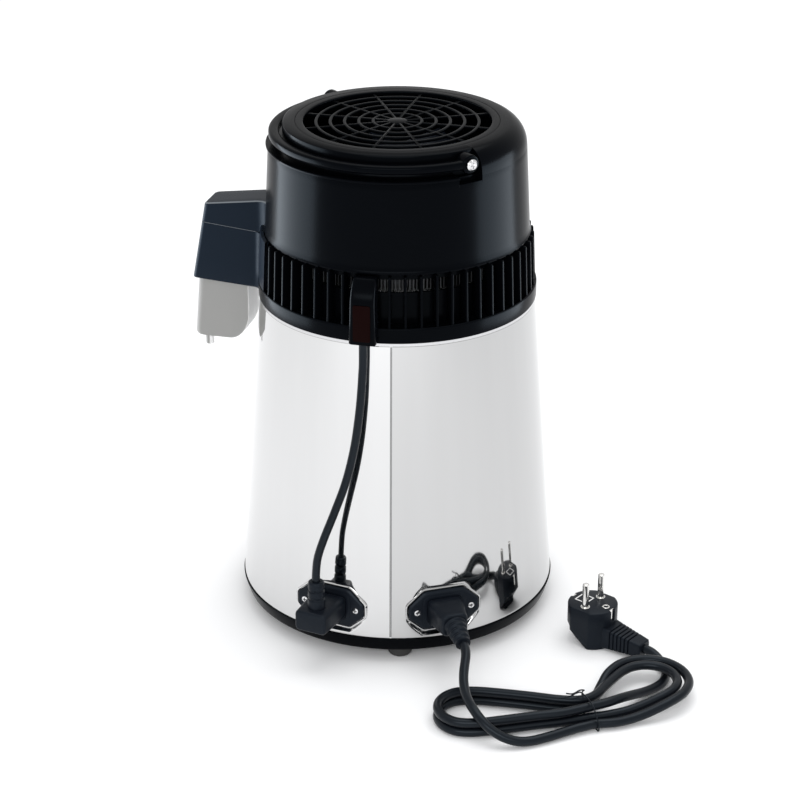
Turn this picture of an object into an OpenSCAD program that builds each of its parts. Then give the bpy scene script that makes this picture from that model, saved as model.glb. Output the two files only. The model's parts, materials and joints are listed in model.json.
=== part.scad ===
// Countertop water distiller: a steel boiler base, a lift-off fan head with a
// spout and filter cup, and the two leads. X is right, Y is away from the
// sockets, Z is up. The origin lies on the boiler's axis, on the worktop.

/* [Base] */
// Outer radius of the steel body at its foot
body_foot_r = 115; // [105:1:125]
// Room between the pot's wall and the top edge of the steel body
pot_gap = 6.5; // [5:0.5:9]
// Height under the pot, for the heater and the sockets
under_pot = 31; // [28:1:40]
// Sheet thickness of the steel body
body_wall = 1; // [0.8:0.1:1.4]
// Radius of each rubber foot
foot_r = 9; // [7:0.5:11]
// Height of each rubber foot
foot_h = 9; // [6:0.5:12]
// Distance of the feet's circle in from the foot of the steel body
foot_in = 14; // [12:0.5:19]
// Height of the black base cover
cover_h = 10; // [8:0.5:13]
// Floor thickness of the base cover
cover_floor = 3; // [2:0.5:4]
// Outer radius of the boiler pot
pot_r = 92; // [86:0.5:93]
// Inside depth of the boiler pot
pot_depth = 188; // [160:1:190]
// Sheet thickness of the boiler pot
pot_wall = 1; // [0.8:0.1:1.5]
// Thickness of the pot's rolled rim
rim_t = 2; // [1.5:0.1:3]

/* [Heater] */
// Radius of the heater plate
heater_r = 62; // [50:1:70]
// Thickness of the heater plate
heater_t = 6; // [4:0.5:8]
// Radius of the heating element's ring
element_ring_r = 45; // [36:1:46]
// Width of the heating element
element_w = 8; // [6:0.5:10]
// Height of the heating element
element_h = 7; // [5:0.5:8]

/* [Sockets] */
// Height of the socket centres above the foot of the steel body
socket_rise = 21; // [20:0.5:24]
// Direction of the mains socket
mains_angle = -73; // [-78:1:-70]
// Direction of the fan socket
fan_angle = -115; // [-118:1:-112]
// Depth of the flats pressed into the steel for the sockets
seat_press = 2.8; // [2.4:0.1:3.2]
// Width of a socket's face plate
plate_w = 52; // [50:0.5:54]
// Height of a socket's face plate
plate_h = 30; // [28:0.5:31]
// Thickness of a socket's face plate
plate_t = 3; // [2:0.5:4]
// Distance between the two screws of a socket
plate_screw_span = 40; // [38:0.5:42]
// Width of the recess that takes a connector
recess_w = 24.6; // [24:0.2:26]
// Height of the recess that takes a connector
recess_h = 16.6; // [16:0.2:18]
// Depth of the recess that takes a connector
recess_depth = 17; // [15:0.5:18]

/* [Head] */
// Height of the smooth skirt above the boiler rim
skirt_h = 11; // [9:0.5:14]
// Height of the vent band
band_h = 36; // [30:1:42]
// Number of fins round the vent band
fin_count = 56; // [40:2:64]
// Thickness of each vent fin
fin_t = 1.8; // [1.4:0.1:2.4]
// Step from the skirt's face in to the fins' feet
fin_in = 1.1; // [0.7:0.1:2]
// Step from the drum's foot out to the fins' tops
fin_out = 3; // [2:0.2:3.4]
// Step from the steel body's top edge in to the drum's foot
drum_in = 4.9; // [3.5:0.1:6]
// Taper of the drum from its foot to its top
drum_taper = 3.4; // [2:0.1:4]
// Height of the drum
drum_h = 63; // [56:1:70]
// Wall thickness of the drum
drum_wall = 2.5; // [2:0.1:3]
// Overhang of the top cover's thin lip
lip_out = 1.5; // [1:0.1:2.3]
// Thickness of the top cover's lip
lip_t = 2; // [1.5:0.1:2.5]
// Width of the ledge that the handle lies on
ledge_w = 11.7; // [11:0.1:13.5]
// Height of the neck above the lip
neck_h = 12; // [10:0.5:14]
// Thickness of the grille and the cover's top ring
grille_t = 3; // [2:0.5:4]
// Width of the cover's top ring round the grille
cover_ring_w = 9; // [8:0.5:10]
// Width of the grille's outer ring
insert_w = 5.6; // [5:0.2:8]
// Width of the grille's ring bars
bar_w = 2.4; // [1.8:0.1:3]
// Distance between the grille's ring bars
bar_step = 9.9; // [9:0.1:10.4]
// Number of grille spokes
spoke_count = 12; // [8:1:16]
// Radius of the grille's hub
hub_r = 7; // [5:0.5:9]

/* [Handle] */
// Direction of the handle's visible pivot screw
pivot_angle = -57; // [-62:1:-52]
// Gap between the neck and the handle
handle_gap = 2; // [1.6:0.1:3]
// Width of the handle's section
handle_w = 7.6; // [6:0.1:8]
// Height of the handle's section
handle_t = 6; // [5:0.5:7]
// Radius of the handle's pivot eyes
eye_r = 6.5; // [5.5:0.5:7]
// Radius of the pivot screw's plain shoulder
shoulder_r = 2.5; // [2:0.1:3]
// Radial running clearance of the handle on its pivots
pivot_clearance = 0.06; // [0.03:0.01:0.1]
// Width of the notch round each pivot
notch_w = 18.5; // [16:0.5:20]
// Depth of the notch below the lip's top
notch_depth = 5.3; // [4:0.1:6]

/* [Fan] */
// Radius of the fan motor
motor_r = 21; // [17:0.5:24]
// Height of the fan motor
motor_h = 30; // [24:1:32]
// Radius of the fan's shaft
shaft_r = 2.5; // [2:0.1:3]
// Room between the fan's blades and the rim of the grille's opening
blade_gap = 5.4; // [3:0.2:12]
// Number of fan blades
blade_count = 7; // [5:1:9]

/* [Condenser] */
// Diameter of the condenser tube
coil_d = 9.5; // [8:0.5:10]
// Distance of the condenser's turns in from the drum's foot
coil_in = 27.6; // [26.6:0.2:33]
// Number of the condenser's turns
coil_turns = 2; // [1:1:2]
// Number of cooling fins round the condenser
cooling_fins = 96; // [60:4:110]

/* [Spout] */
// Direction of the spout
spout_angle = 165; // [162:1:168]
// Width of the spout
spout_w = 30; // [28:0.5:34]
// Wall thickness of the spout
spout_wall = 2.4; // [2:0.1:3]
// Reach of the spout's foot from the skirt
spout_out = 50.9; // [47:0.5:55]
// Height of the spout above the boiler rim
spout_h = 65; // [60:0.5:68]
// Width of the filter cup across the spout
cup_w = 24; // [20:0.5:24.4]
// Length of the filter cup along the spout, at its rim
cup_l = 36.5; // [30:0.5:38]
// Depth of the filter cup below the spout
cup_drop = 46; // [40:0.5:52]
// Wall thickness of the filter cup
cup_wall = 1.6; // [1.2:0.1:2]
// Reach of the curve at the cup's inner corner
cup_round = 15; // [10:0.5:18]
// Height of the curve at the cup's inner corner
cup_curve_h = 21; // [16:0.5:28]
// Lean of the cup's outer wall over its depth
cup_lean = 4.8; // [0:0.1:6]

/* [Leads] */
// Diameter of the mains cord
cord_d = 6.6; // [6:0.1:7]
// Diameter of the fan lead
lead_d = 5.8; // [5:0.1:6.4]
// Direction of the fan lead's outlet box
box_angle = -103; // [-105:1:-101]
// Width of the outlet box
box_w = 19; // [17:0.5:22]
// Reach of the outlet box's face from the skirt
box_out = 8.4; // [7:0.2:11]
// Distance between the plug's pins
pin_span = 19; // [18.8:0.1:19.2]
// Diameter of the plug's pins
pin_d = 4.8; // [4:0.1:5]
// Length of the plug's pins
pin_l = 19; // [17:0.5:20]

/* [Hidden] */
$fn = 96;

// Gap between two pieces of one body, and between pieces that slide
seat_gap = 0.2;
slide_gap = 0.35;

// Radii that follow from the pot and from the foot of the steel body
body_top_r = pot_r + pot_gap;
body_h = pot_depth + under_pot;
foot_circle_r = body_foot_r - foot_in;
skirt_r = body_top_r + 0.6;
drum_foot_r = body_top_r - drum_in;
drum_top_r = drum_foot_r - drum_taper;
fin_foot_r = skirt_r - fin_in;
fin_top_r = drum_foot_r + fin_out;
lip_r = drum_top_r + lip_out;
neck_r = lip_r - ledge_w;
insert_r = neck_r - cover_ring_w;
opening_r = insert_r - insert_w;
handle_in_r = neck_r + handle_gap;
handle_out_r = handle_in_r + handle_w;
blade_r = opening_r - blade_gap;
coil_r = drum_foot_r - coil_in;
spout_reach = skirt_r + spout_out;
box_face_r = skirt_r + box_out;

// Heights of the stacked pieces
z_cover = foot_h;
z_steel = z_cover + cover_h;
z_socket = z_steel + socket_rise;
z_flange = z_steel + body_h;
z_rim = z_flange + rim_t;
z_pot = z_rim - pot_depth - pot_wall;
z_heater = z_pot - heater_t;
z_band = z_rim + skirt_h;
z_drum = z_band + band_h;
z_lip = z_drum + drum_h;
z_ledge = z_lip + lip_t;
z_neck = z_ledge + neck_h;
z_top = z_neck + grille_t;
seat_r = body_r_at(z_socket) - seat_press;

// Base details
flange_w = 14;
flange_t = 1.2;
cover_wall = 3;
cover_lean = 2.5;
boss_r = 5;
cover_screw_r = base_screw_circle();
shield_r = 78;
shield_t = 1;
shield_rise = 12;
shield_post_r = 4;
shield_post_circle = 66;
m3_r = 1.5;
screw_head_r = 3;
screw_head_h = 2;
plate_head_r = 2.4;
plate_head_h = 0.9;
foot_turn = -89;
seat_margin = 2;
pin_blade = [2, 4, 12];
pin_places = [[-7, -2.5], [7, -2.5], [0, 3]];
pin_slot_gap = 0.4;

// Head details
skirt_wall = 2.8;
ring_gap = 0.9;
ring_out_r = drum_foot_r - drum_wall - ring_gap;
ring_wall = 3;
ring_drop = 4;
ring_rise = 8;
deck_w = 8;
deck_t = 3;
z_deck = z_drum + ring_rise;
lid_t = 1.5;
lid_depth = 8;
lid_gap = 1.5;
seal_t = 3;
seal_w = 6;
arm_w = 12;
arm_t = 3;
z_motor = z_deck + arm_t;
z_rotor = z_motor + motor_h + 3;
rotor_h = 14;
blade_pitch = 28;
blade_t = 1.6;
z_pivot = z_ledge + 7.2;
boss_in = 10;
pivot_thread_r = 1.5;
pivot_head_r = 4;
pivot_head_h = 2.4;

// Spout and cup details
spout_end_lean = 11;
spout_top_drop = 7;
spout_lid_h = 22;
split_tilt = 4.3;
spout_sag = 3;
z_spout = z_rim;
cup_x = spout_reach - spout_wall - slide_gap - cup_l - 2.2;
cup_grip = 8;
nozzle_r = 3.2;
nozzle_bore_r = 1.6;
nozzle_h = 11;
nozzle_in = 1.6;
z_cup = z_spout - cup_drop;

// Lead details
lead_exit_r = box_face_r - 4;
connector_gap = 0.3;
connector_w = recess_w - 2 * connector_gap;
connector_h = recess_h - 2 * connector_gap;
grip_w = 26;
grip_h = 20;
mains_grip_l = 24;
boot_l = 18.5;
boot_r = 6;
boot_tilt = 14;
fan_grip_l = 31;
fan_grip_h = 17.6;
fan_boot_r = 4.8;
fan_boot_h = 20;
fan_boot_in = 19.4;
face_r = seat_r + plate_t + connector_gap;
mains_boot_end_r = face_r + mains_grip_l + boot_l * cos(boot_tilt);
z_mains_boot = z_socket - boot_l * sin(boot_tilt);
fan_boot_at_r = face_r + fan_boot_in + 1;
z_fan_boot = z_socket + grip_h / 2 + fan_boot_h;

// Plug details: place, heading of its cord, and its body
plug_at = [141, -81];
plug_heading = -40;
plug_face_z = 30;
plug_r = 18;
plug_boot_z = 8.4;
plug_boot_end = 46;
plug_flat = 16.2;
plug_heel = 7;
plug_heel_h = 17.5;
neck_root_w = 22;
neck_root_h = 19.5;
neck_end_w = 12.5;
neck_end_h = 10.4;
plug_ribs = 6;
rib_start = 21;
rib_step = 3;
rib_depth = 1.1;
pin_shank_r = pin_d / 2 - 0.4;

// The fan lead's points between the outlet box and the connector
lead_route = [
    [-23.6, -102, 222], [-25.6, -106, 196], [-29.5, -109.6, 168], [-35.5, -113, 143],
    [-43.5, -116.5, 121], [-51, -119.6, 102], [-55.4, -121, 88]
];
// The mains cord's points between its connector and the hank
cord_route = [
    [46.8, -163.5, 31.4], [45.5, -172, 28.6], [45, -181, 25.8], [45.6, -190, 23.2], [47.5, -199, 21],
    [51, -208, 19.8], [56, -216.4, 16.4], [63.5, -222, 11.2], [73.5, -224.6, 6.5], [84, -224, 4],
    [94, -220.5, 3.8], [104, -216, 4], [113, -211.5, 4.3]
];
// The plug cord's points between the hank and the plug's boot
plug_route = [
    [150, -182.5, 11.5], [157, -176, 9.8], [165, -168.5, 7], [173, -161, 4.6], [181, -153.5, 3.6],
    [186, -147, 3.5], [189, -138.5, 3.5], [189, -129.5, 4], [185.8, -120.7, 6]
];

// The hank: its tie, the headings of its two ends, and the loops' sizes
tie_at = [131, -192];
hank_left = -3.5;
hank_right = 42;
hank_bend = 20;
strand = cord_d + 1.4;
layer = cord_d + 0.5;
z_low = cord_d / 2 + 0.2;
z_tied = cord_d / 2 + 1.3;
z_over = z_low + layer + 1.4;
left_reach = 84;
left_r = 21.5;
right_reach = 55;
right_inner_r = 21.5;
right_outer_r = right_inner_r + strand + 0.7;
first_w = -1.35 * strand;
tie_r = 0.5;

function base_screw_circle() = body_foot_r - body_wall - flange_w / 2;
function body_r_at(z) = body_foot_r - (body_foot_r - body_top_r) * (z - z_steel) / body_h;
function drum_r_at(z) = drum_foot_r - (drum_foot_r - drum_top_r) * (z - z_drum) / drum_h;
function away(angle, r, z) = [r * cos(angle), r * sin(angle), z];
function unit(v) = v / norm(v);

// Tangent of a path at one of its points
function tangent(p, i) =
    i == 0 ? unit(p[1] - p[0]) :
    i == len(p) - 1 ? unit(p[i] - p[i - 1]) :
    unit(unit(p[i + 1] - p[i]) + unit(p[i] - p[i - 1]));
function carried(n, t) = unit(n - (n * t) * t);
function side_rays(p, n, i = 0) =
    i == len(p) ? [] :
    let (m = carried(n, tangent(p, i))) concat([m], side_rays(p, m, i + 1));

// A closed tube swept along a path, in triangles
module swept_tube(path, r, sides, ray = [0.31, 0.22, 0.92]) {
    rays = side_rays(path, ray);
    last = len(path) - 1;
    points = [
        for (i = [0:last], k = [0:sides - 1])
            let (t = tangent(path, i), a = 360 * k / sides)
            path[i] + r * (cos(a) * rays[i] + sin(a) * cross(t, rays[i]))
    ];
    walls = [
        for (i = [0:last - 1], k = [0:sides - 1])
            let (a = i * sides + k, b = i * sides + (k + 1) % sides, c = b + sides, d = a + sides)
            each [[a, c, b], [a, d, c]]
    ];
    caps = [
        for (k = [1:sides - 2])
            each [[0, k, k + 1], [last * sides, last * sides + k + 1, last * sides + k]]
    ];
    polyhedron(points, concat(walls, caps), convexity = 12);
}

// Points of a smooth curve through a route's points, with three steps a span
function spline_point(p, i, u) =
    let (
        a = p[max(i - 1, 0)], b = p[i], c = p[i + 1], d = p[min(i + 2, len(p) - 1)],
        m = (c - a) / 2, n = (d - b) / 2
    )
    (2 * u ^ 3 - 3 * u ^ 2 + 1) * b + (u ^ 3 - 2 * u ^ 2 + u) * m
        + (3 * u ^ 2 - 2 * u ^ 3) * c + (u ^ 3 - u ^ 2) * n;
function spline(p, steps = 3) = concat(
    [for (i = [0:len(p) - 2], j = [0:steps - 1]) spline_point(p, i, j / steps)],
    [p[len(p) - 1]]
);

// One lobe of the hank in its own plane: out from the tie at w1, round a bend
// of radius q whose centre lies at c, and back to the tie at w2
function lobe(c, q, w1, w2, z1, zm, z2) =
    let (
        a1 = atan2(w1, -c), a2 = atan2(w2, -c),
        t1 = (a1 > 0 ? a1 - 360 : a1) + acos(q / norm([c, w1])),
        t2 = (a2 < 0 ? a2 + 360 : a2) - acos(q / norm([c, w2])),
        p1 = [c + q * cos(t1), q * sin(t1)], p2 = [c + q * cos(t2), q * sin(t2)]
    )
    concat(
        [for (f = [0:0.25:0.75]) [p1.x * f, w1 + (p1.y - w1) * f, f < 0.7 ? z1 : (2 * z1 + zm) / 3]],
        [for (k = [0:7]) let (a = t1 + (t2 - t1) * k / 7) [c + q * cos(a), q * sin(a), zm]],
        [for (f = [0.75:-0.25:0.25]) [p2.x * f, w2 + (p2.y - w2) * f, f < 0.7 ? z2 : (2 * z2 + zm) / 3]]
    );
function turned(p) = [for (v = p) [-v.x, -v.y, v.z]];
function eased(p, passes) =
    passes == 0 ? p :
    eased([
        for (i = [0:len(p) - 1])
            i == 0 || i == len(p) - 1 ? p[i] : (p[i - 1] + 2 * p[i] + p[i + 1]) / 4
    ], passes - 1);

// The hank's plane bends at the tie from its left heading to its right one
hank_turn = hank_right - hank_left;
hank_bend_r = 2 * hank_bend / (hank_turn * PI / 180);
function hank_heading(s) =
    hank_left + hank_turn * min(max((s + hank_bend) / (2 * hank_bend), 0), 1);
function arc_from(h) = hank_bend_r * [sin(h), -cos(h)];
function hank_axis(s) =
    let (
        inside = min(max(s, -hank_bend), hank_bend), h = hank_heading(s),
        middle = hank_heading(0), over = s - inside
    )
    tie_at + arc_from(h) - arc_from(middle) + over * [cos(h), sin(h)];
function on_hank(p) =
    let (h = hank_heading(p.x), a = hank_axis(p.x))
    [a.x - p.y * sin(h), a.y + p.y * cos(h), p.z];
z_second = z_tied + layer;
hank_local = concat(
    [[-cord_d, first_w - 0.8, z_tied]],
    eased(concat(
        lobe(right_reach, right_outer_r, first_w, strand, z_tied, z_over, z_tied),
        turned(lobe(left_reach, left_r, -strand, 0, z_tied, z_low, z_tied)),
        lobe(right_reach, right_inner_r, 0, strand, z_tied, z_over, z_second),
        turned(lobe(left_reach, left_r, -strand, 0, z_second, z_low + layer, z_second)),
        [[0, 0, z_second]]
    ), 1),
    [[cord_d, 0, z_second]]
);
hank_path = [for (p = hank_local) on_hank(p)];
hank_in = hank_path[0];
hank_out = hank_path[len(hank_path) - 1];

// Least gap of the hank to itself, between points more than four apart
hank_gap = min([
    for (i = [0:len(hank_path) - 6], j = [i + 5:len(hank_path) - 1])
        norm(hank_path[i] - hank_path[j])
]) - cord_d;
echo(hank_gap = hank_gap);

// Whole routes of the cords, with a straight diameter at each end
lead_top = away(box_angle, lead_exit_r, z_rim + 0.7);
lead_foot = away(fan_angle, fan_boot_at_r, z_fan_boot + 0.1);
lead_path = spline(concat(
    [lead_top, lead_top - [0, 0, lead_d]], lead_route, [lead_foot + [0, 0, lead_d], lead_foot]
), 2);
cord_exit = away(mains_angle, mains_boot_end_r, z_mains_boot);
boot_ray = away(mains_angle, cos(boot_tilt), -sin(boot_tilt));
hank_in_ray = unit(hank_path[1] - hank_in);
cord_path = eased(spline(concat(
    [cord_exit, cord_exit + cord_d * boot_ray],
    cord_route, [hank_in - cord_d * hank_in_ray, hank_in]
), 2), 2);
plug_ray = [cos(plug_heading), sin(plug_heading), 0];
plug_exit = [plug_at.x, plug_at.y, plug_boot_z] + plug_boot_end * plug_ray;
hank_out_ray = unit(hank_out - hank_path[len(hank_path) - 2]);
plug_path = eased(spline(concat(
    [hank_out, hank_out + cord_d * hank_out_ray],
    plug_route, [plug_exit + cord_d * plug_ray, plug_exit]
), 2), 2);

// Shared shapes
module at(angle, r, z) {
    rotate([0, 0, angle]) translate([r, 0, z]) children();
}

module round_ring(r_out, r_in, z0, z1) {
    rotate_extrude() polygon([[r_in, z0], [r_out, z0], [r_out, z1], [r_in, z1]]);
}

// A pan-head screw pointing down, with its head on the plane z = 0
module screw(head_r, head_h, shank_r, shank_l) {
    difference() {
        rotate_extrude($fn = 32) polygon([
            [0, -shank_l], [shank_r, -shank_l], [shank_r, 0], [head_r, 0],
            [head_r, head_h * 0.5], [head_r * 0.7, head_h], [0, head_h]
        ]);
        for (turn = [0, 90])
            rotate([0, 0, turn]) translate([-head_r * 0.55, -0.4, head_h * 0.4])
                cube([head_r * 1.1, 0.8, head_h]);
    }
}

// A ribbed strain relief along +X from the origin
module ribbed_boot(r_start, r_end, length, ribs) {
    step = length / ribs;
    lean = (r_start - r_end) / ribs;
    groove = 0.16 * r_start;
    rotate([0, 90, 0]) rotate_extrude($fn = 40) polygon(concat(
        [[0, 0]],
        [for (i = [0:ribs - 1]) each [
            [r_start - lean * i, step * i],
            [r_start - lean * i, step * (i + 0.6)],
            [r_start - lean * i - groove, step * (i + 0.6)],
            [r_start - lean * i - groove, step * (i + 1)]
        ]],
        [[0, length]]
    ));
}

// Base
module feet() {
    color("#1b1b1d")
    for (i = [0:3])
        at(foot_turn + 90 * i, foot_circle_r, 0)
            rotate_extrude($fn = 48) polygon([
                [0, 0], [foot_r * 0.6, 0], [foot_r * 0.85, foot_h * 0.15],
                [foot_r, foot_h * 0.45], [foot_r, foot_h], [0, foot_h]
            ]);
}

module base_cover() {
    color("#17171a")
    difference() {
        union() {
            rotate_extrude() polygon([
                [0, z_cover], [body_foot_r - cover_lean, z_cover], [body_foot_r + 0.5, z_steel],
                [body_foot_r + 0.5 - cover_wall, z_steel],
                [body_foot_r - cover_lean - cover_wall, z_cover + cover_floor],
                [0, z_cover + cover_floor]
            ]);
            for (i = [0:3])
                at(foot_turn + 45 + 90 * i, cover_screw_r, z_cover)
                    cylinder(r = boss_r, h = cover_h, $fn = 32);
            for (i = [0:2])
                at(30 + 120 * i, shield_post_circle, z_cover)
                    cylinder(r = shield_post_r, h = shield_rise + cover_floor, $fn = 32);
        }
        for (i = [0:3])
            at(foot_turn + 45 + 90 * i, cover_screw_r, 0) {
                translate([0, 0, z_cover - 1]) cylinder(r = m3_r + 0.2, h = cover_h + 2, $fn = 24);
                translate([0, 0, z_cover - 1])
                    cylinder(r = screw_head_r + 0.3, h = screw_head_h + 1.4, $fn = 24);
            }
        for (i = [0:11])
            at(30 * i, 30, z_cover - 1) translate([0, -2, 0]) cube([22, 4, cover_floor + 2]);
    }
}

module base_screws() {
    color("#c8c9cc")
    for (i = [0:3])
        at(foot_turn + 45 + 90 * i, cover_screw_r, z_cover + screw_head_h + 0.4)
            rotate([180, 0, 0])
                screw(screw_head_r, screw_head_h, m3_r, z_steel + flange_t - z_cover - screw_head_h);
}

// Room in front of a socket's flat seat, from a distance before the flat
module seat_room(angle, grow, before) {
    at(angle, 0, z_socket)
        translate([seat_r - before, -plate_w / 2 - grow, -plate_h / 2 - grow])
            cube([20, plate_w + 2 * grow, plate_h + 2 * grow]);
}

module outer_body() {
    inset = body_wall;
    color("#d9dbdd")
    difference() {
        rotate_extrude() polygon([
            [0, z_steel], [body_foot_r, z_steel], [body_top_r, z_flange], [0, z_flange]
        ]);
        difference() {
            rotate_extrude() polygon([
                [0, z_steel + flange_t], [body_r_at(z_steel + flange_t) - inset, z_steel + flange_t],
                [body_top_r - inset, z_flange + 1], [0, z_flange + 1]
            ]);
            seat_room(mains_angle, seat_margin + inset, inset);
            seat_room(fan_angle, seat_margin + inset, inset);
        }
        translate([0, 0, z_steel - 1]) cylinder(r = body_foot_r - flange_w, h = flange_t + 2);
        for (angle = [mains_angle, fan_angle]) {
            seat_room(angle, seat_margin, 0);
            at(angle, seat_r - 3, z_socket) {
                translate([0, -recess_w / 2 - 2.2, -recess_h / 2 - 2.2])
                    cube([6, recess_w + 4.4, recess_h + 4.4]);
                for (side = [-1, 1])
                    translate([0, side * plate_screw_span / 2, 0]) rotate([0, 90, 0])
                        cylinder(r = m3_r + 0.1, h = 6, $fn = 24);
            }
        }
        for (i = [0:3])
            at(foot_turn + 45 + 90 * i, cover_screw_r, z_steel - 1)
                cylinder(r = m3_r + 0.1, h = flange_t + 2, $fn = 24);
    }
}

module boiler_pot() {
    color("#cfd2d4")
    rotate_extrude() polygon([
        [0, z_pot], [pot_r - 4, z_pot], [pot_r, z_pot + 4], [pot_r, z_flange],
        [body_top_r + 0.2, z_flange], [body_top_r + 0.2, z_rim], [pot_r - pot_wall, z_rim],
        [pot_r - pot_wall, z_pot + 4.4], [pot_r - 4.4, z_pot + pot_wall], [0, z_pot + pot_wall]
    ]);
}

module heater_plate() {
    color("#a7a9ab")
    translate([0, 0, z_heater]) cylinder(r = heater_r, h = heater_t);
}

module heating_element() {
    color("#6f6a64") {
        translate([0, 0, z_heater - element_h])
            rotate([0, 0, 100]) rotate_extrude(angle = 300)
                translate([element_ring_r - element_w / 2, 0]) square([element_w, element_h]);
        for (turn = [104, 396])
            at(turn, element_ring_r, z_heater - element_h - 9) cylinder(r = 2, h = 9, $fn = 24);
    }
}

module thermostat() {
    color("#e4dfd2")
    translate([0, 0, z_heater - 9]) {
        cylinder(r = 8.5, h = 9, $fn = 48);
        for (side = [-1, 1])
            translate([side * 4 - 0.4, -3, -7]) cube([0.8, 6, 7]);
    }
}

module thermal_fuse() {
    color("#c9b9a0")
    translate([24, 0, z_heater]) {
        translate([0, -7, -2.6]) rotate([-90, 0, 0]) cylinder(r = 2.1, h = 14, $fn = 24);
        translate([-3, -2.5, -2.6]) cube([6, 5, 2.6]);
    }
}

module heat_shield() {
    color("#9fa2a4")
    difference() {
        translate([0, 0, z_cover + cover_floor + shield_rise])
            cylinder(r = shield_r, h = shield_t);
        translate([0, 0, z_cover + cover_floor + shield_rise - 1])
            cylinder(r = 12, h = shield_t + 2, $fn = 48);
    }
}

// A flanged appliance socket along +X, with the seat at x = 0
module socket() {
    ear = 4.5;
    flat = plate_w * 0.27;
    half_w = plate_w / 2;
    half_h = plate_h / 2;
    difference() {
        union() {
            rotate([90, 0, 90]) linear_extrude(plate_t) polygon([
                [-half_w, -ear], [-flat, -half_h], [flat, -half_h], [half_w, -ear],
                [half_w, ear], [flat, half_h], [-flat, half_h], [-half_w, ear]
            ]);
            translate([-recess_depth, -recess_w / 2 - 2, -recess_h / 2 - 2])
                cube([recess_depth, recess_w + 4, recess_h + 4]);
        }
        translate([plate_t - recess_depth, -recess_w / 2, -recess_h / 2])
            cube([recess_depth + 1, recess_w, recess_h]);
        for (side = [-1, 1])
            translate([-1, side * plate_screw_span / 2, 0]) rotate([0, 90, 0])
                cylinder(r = m3_r + 0.1, h = plate_t + 2, $fn = 24);
    }
}

module mains_socket() {
    color("#141416") at(mains_angle, seat_r, z_socket) socket();
}

module fan_socket() {
    color("#141416") at(fan_angle, seat_r, z_socket) socket();
}

module socket_pins() {
    color("#c4c6c8")
    for (angle = [mains_angle, fan_angle], place = pin_places)
        at(angle, seat_r + plate_t - recess_depth, z_socket)
            translate([0, place.x - pin_blade.x / 2, place.y - pin_blade.y / 2])
                cube([pin_blade.z, pin_blade.x, pin_blade.y]);
}

module socket_screws() {
    color("#d4d5d7")
    for (angle = [mains_angle, fan_angle], side = [-1, 1])
        at(angle, seat_r + plate_t, z_socket)
            translate([0, side * plate_screw_span / 2, 0]) rotate([0, 90, 0])
                screw(plate_head_r, plate_head_h, m3_r, plate_t + 6);
}

// Head
module seal_ring() {
    color("#e8e6df")
    round_ring(pot_r + 1 + seal_w / 2, pot_r + 1 - seal_w / 2, z_rim, z_rim + seal_t);
}

module inner_lid() {
    rim_r = skirt_r - skirt_wall - seat_gap;
    plug_r_out = pot_r - pot_wall - lid_gap;
    seal_in_r = pot_r + 1 - seal_w / 2 - seat_gap;
    wall_r = min(plug_r_out, seal_in_r);
    z_plate = z_rim + seal_t;
    color("#d2d4d6")
    rotate_extrude() polygon([
        [0, z_rim - lid_depth], [wall_r, z_rim - lid_depth], [wall_r, z_plate], [rim_r, z_plate],
        [rim_r, z_plate + lid_t], [wall_r - lid_t, z_plate + lid_t],
        [wall_r - lid_t, z_rim - lid_depth + lid_t], [0, z_rim - lid_depth + lid_t]
    ]);
}

// Fins stand clear of the spout and of the lead's outlet box
function fin_angle(i) = 360 * (i + 0.5) / fin_count;
function turn_gap(a, b) = abs((a - b + 540) % 360 - 180);
spout_half = asin((spout_w / 2 + 1.5) / fin_top_r);
box_half = asin((box_w / 2 + 1.5) / fin_top_r);
fins_kept = [
    for (i = [0:fin_count - 1])
        let (a = fin_angle(i))
        if (turn_gap(a, spout_angle) > spout_half && turn_gap(a, box_angle) > box_half) a
];

// Low screen behind the fins, open at the spout for the tube
screen_t = 1.6;
screen_r = ring_out_r - ring_wall + screen_t;
screen_h = band_h * 0.62;

module vent_band() {
    color("#101114") {
        rotate_extrude() polygon([
            [skirt_r - skirt_wall, z_rim], [skirt_r, z_rim], [skirt_r - 0.2, z_band - 0.8],
            [skirt_r - 1, z_band], [skirt_r - skirt_wall, z_band]
        ]);
        for (a = fins_kept)
            rotate([90, 0, a]) translate([0, 0, -fin_t / 2]) linear_extrude(fin_t) polygon([
                [ring_out_r - ring_wall + 1, z_band - 1], [fin_foot_r, z_band - 1],
                [fin_top_r, z_drum], [ring_out_r - ring_wall + 1, z_drum]
            ]);
        round_ring(ring_out_r, ring_out_r - ring_wall, z_drum - ring_drop, z_deck);
        difference() {
            round_ring(screen_r, screen_r - screen_t, z_band - screen_t, z_band + screen_h);
            at(spout_angle, screen_r - 2 * screen_t, coil_low - coil_d) translate([0, -coil_d / 2 - 1.5, 0])
                cube([3 * screen_t, coil_d + 3, band_h]);
        }
        round_ring(skirt_r - 1, screen_r - screen_t, z_band - screen_t, z_band);
        round_ring(ring_out_r - ring_wall + 1, ring_out_r - ring_wall - deck_w, z_deck - deck_t, z_deck);
    }
}

// The notch round each pivot, cut through the lip and the drum's top edge
module pivot_notches() {
    for (turn = [0, 180])
        at(pivot_angle + turn, neck_r, z_ledge - notch_depth)
            translate([0, -notch_w / 2, 0]) cube([20, notch_w, notch_depth + neck_h + grille_t]);
}

module head_drum() {
    color("#0d0e12")
    difference() {
        rotate_extrude() polygon([
            [drum_foot_r - drum_wall, z_drum], [drum_foot_r + 0.6, z_drum],
            [drum_foot_r + 0.6, z_drum + 1], [drum_r_at(z_drum + 1.6), z_drum + 1.6],
            [drum_top_r, z_lip], [drum_top_r - drum_wall, z_lip]
        ]);
        pivot_notches();
    }
}

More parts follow.
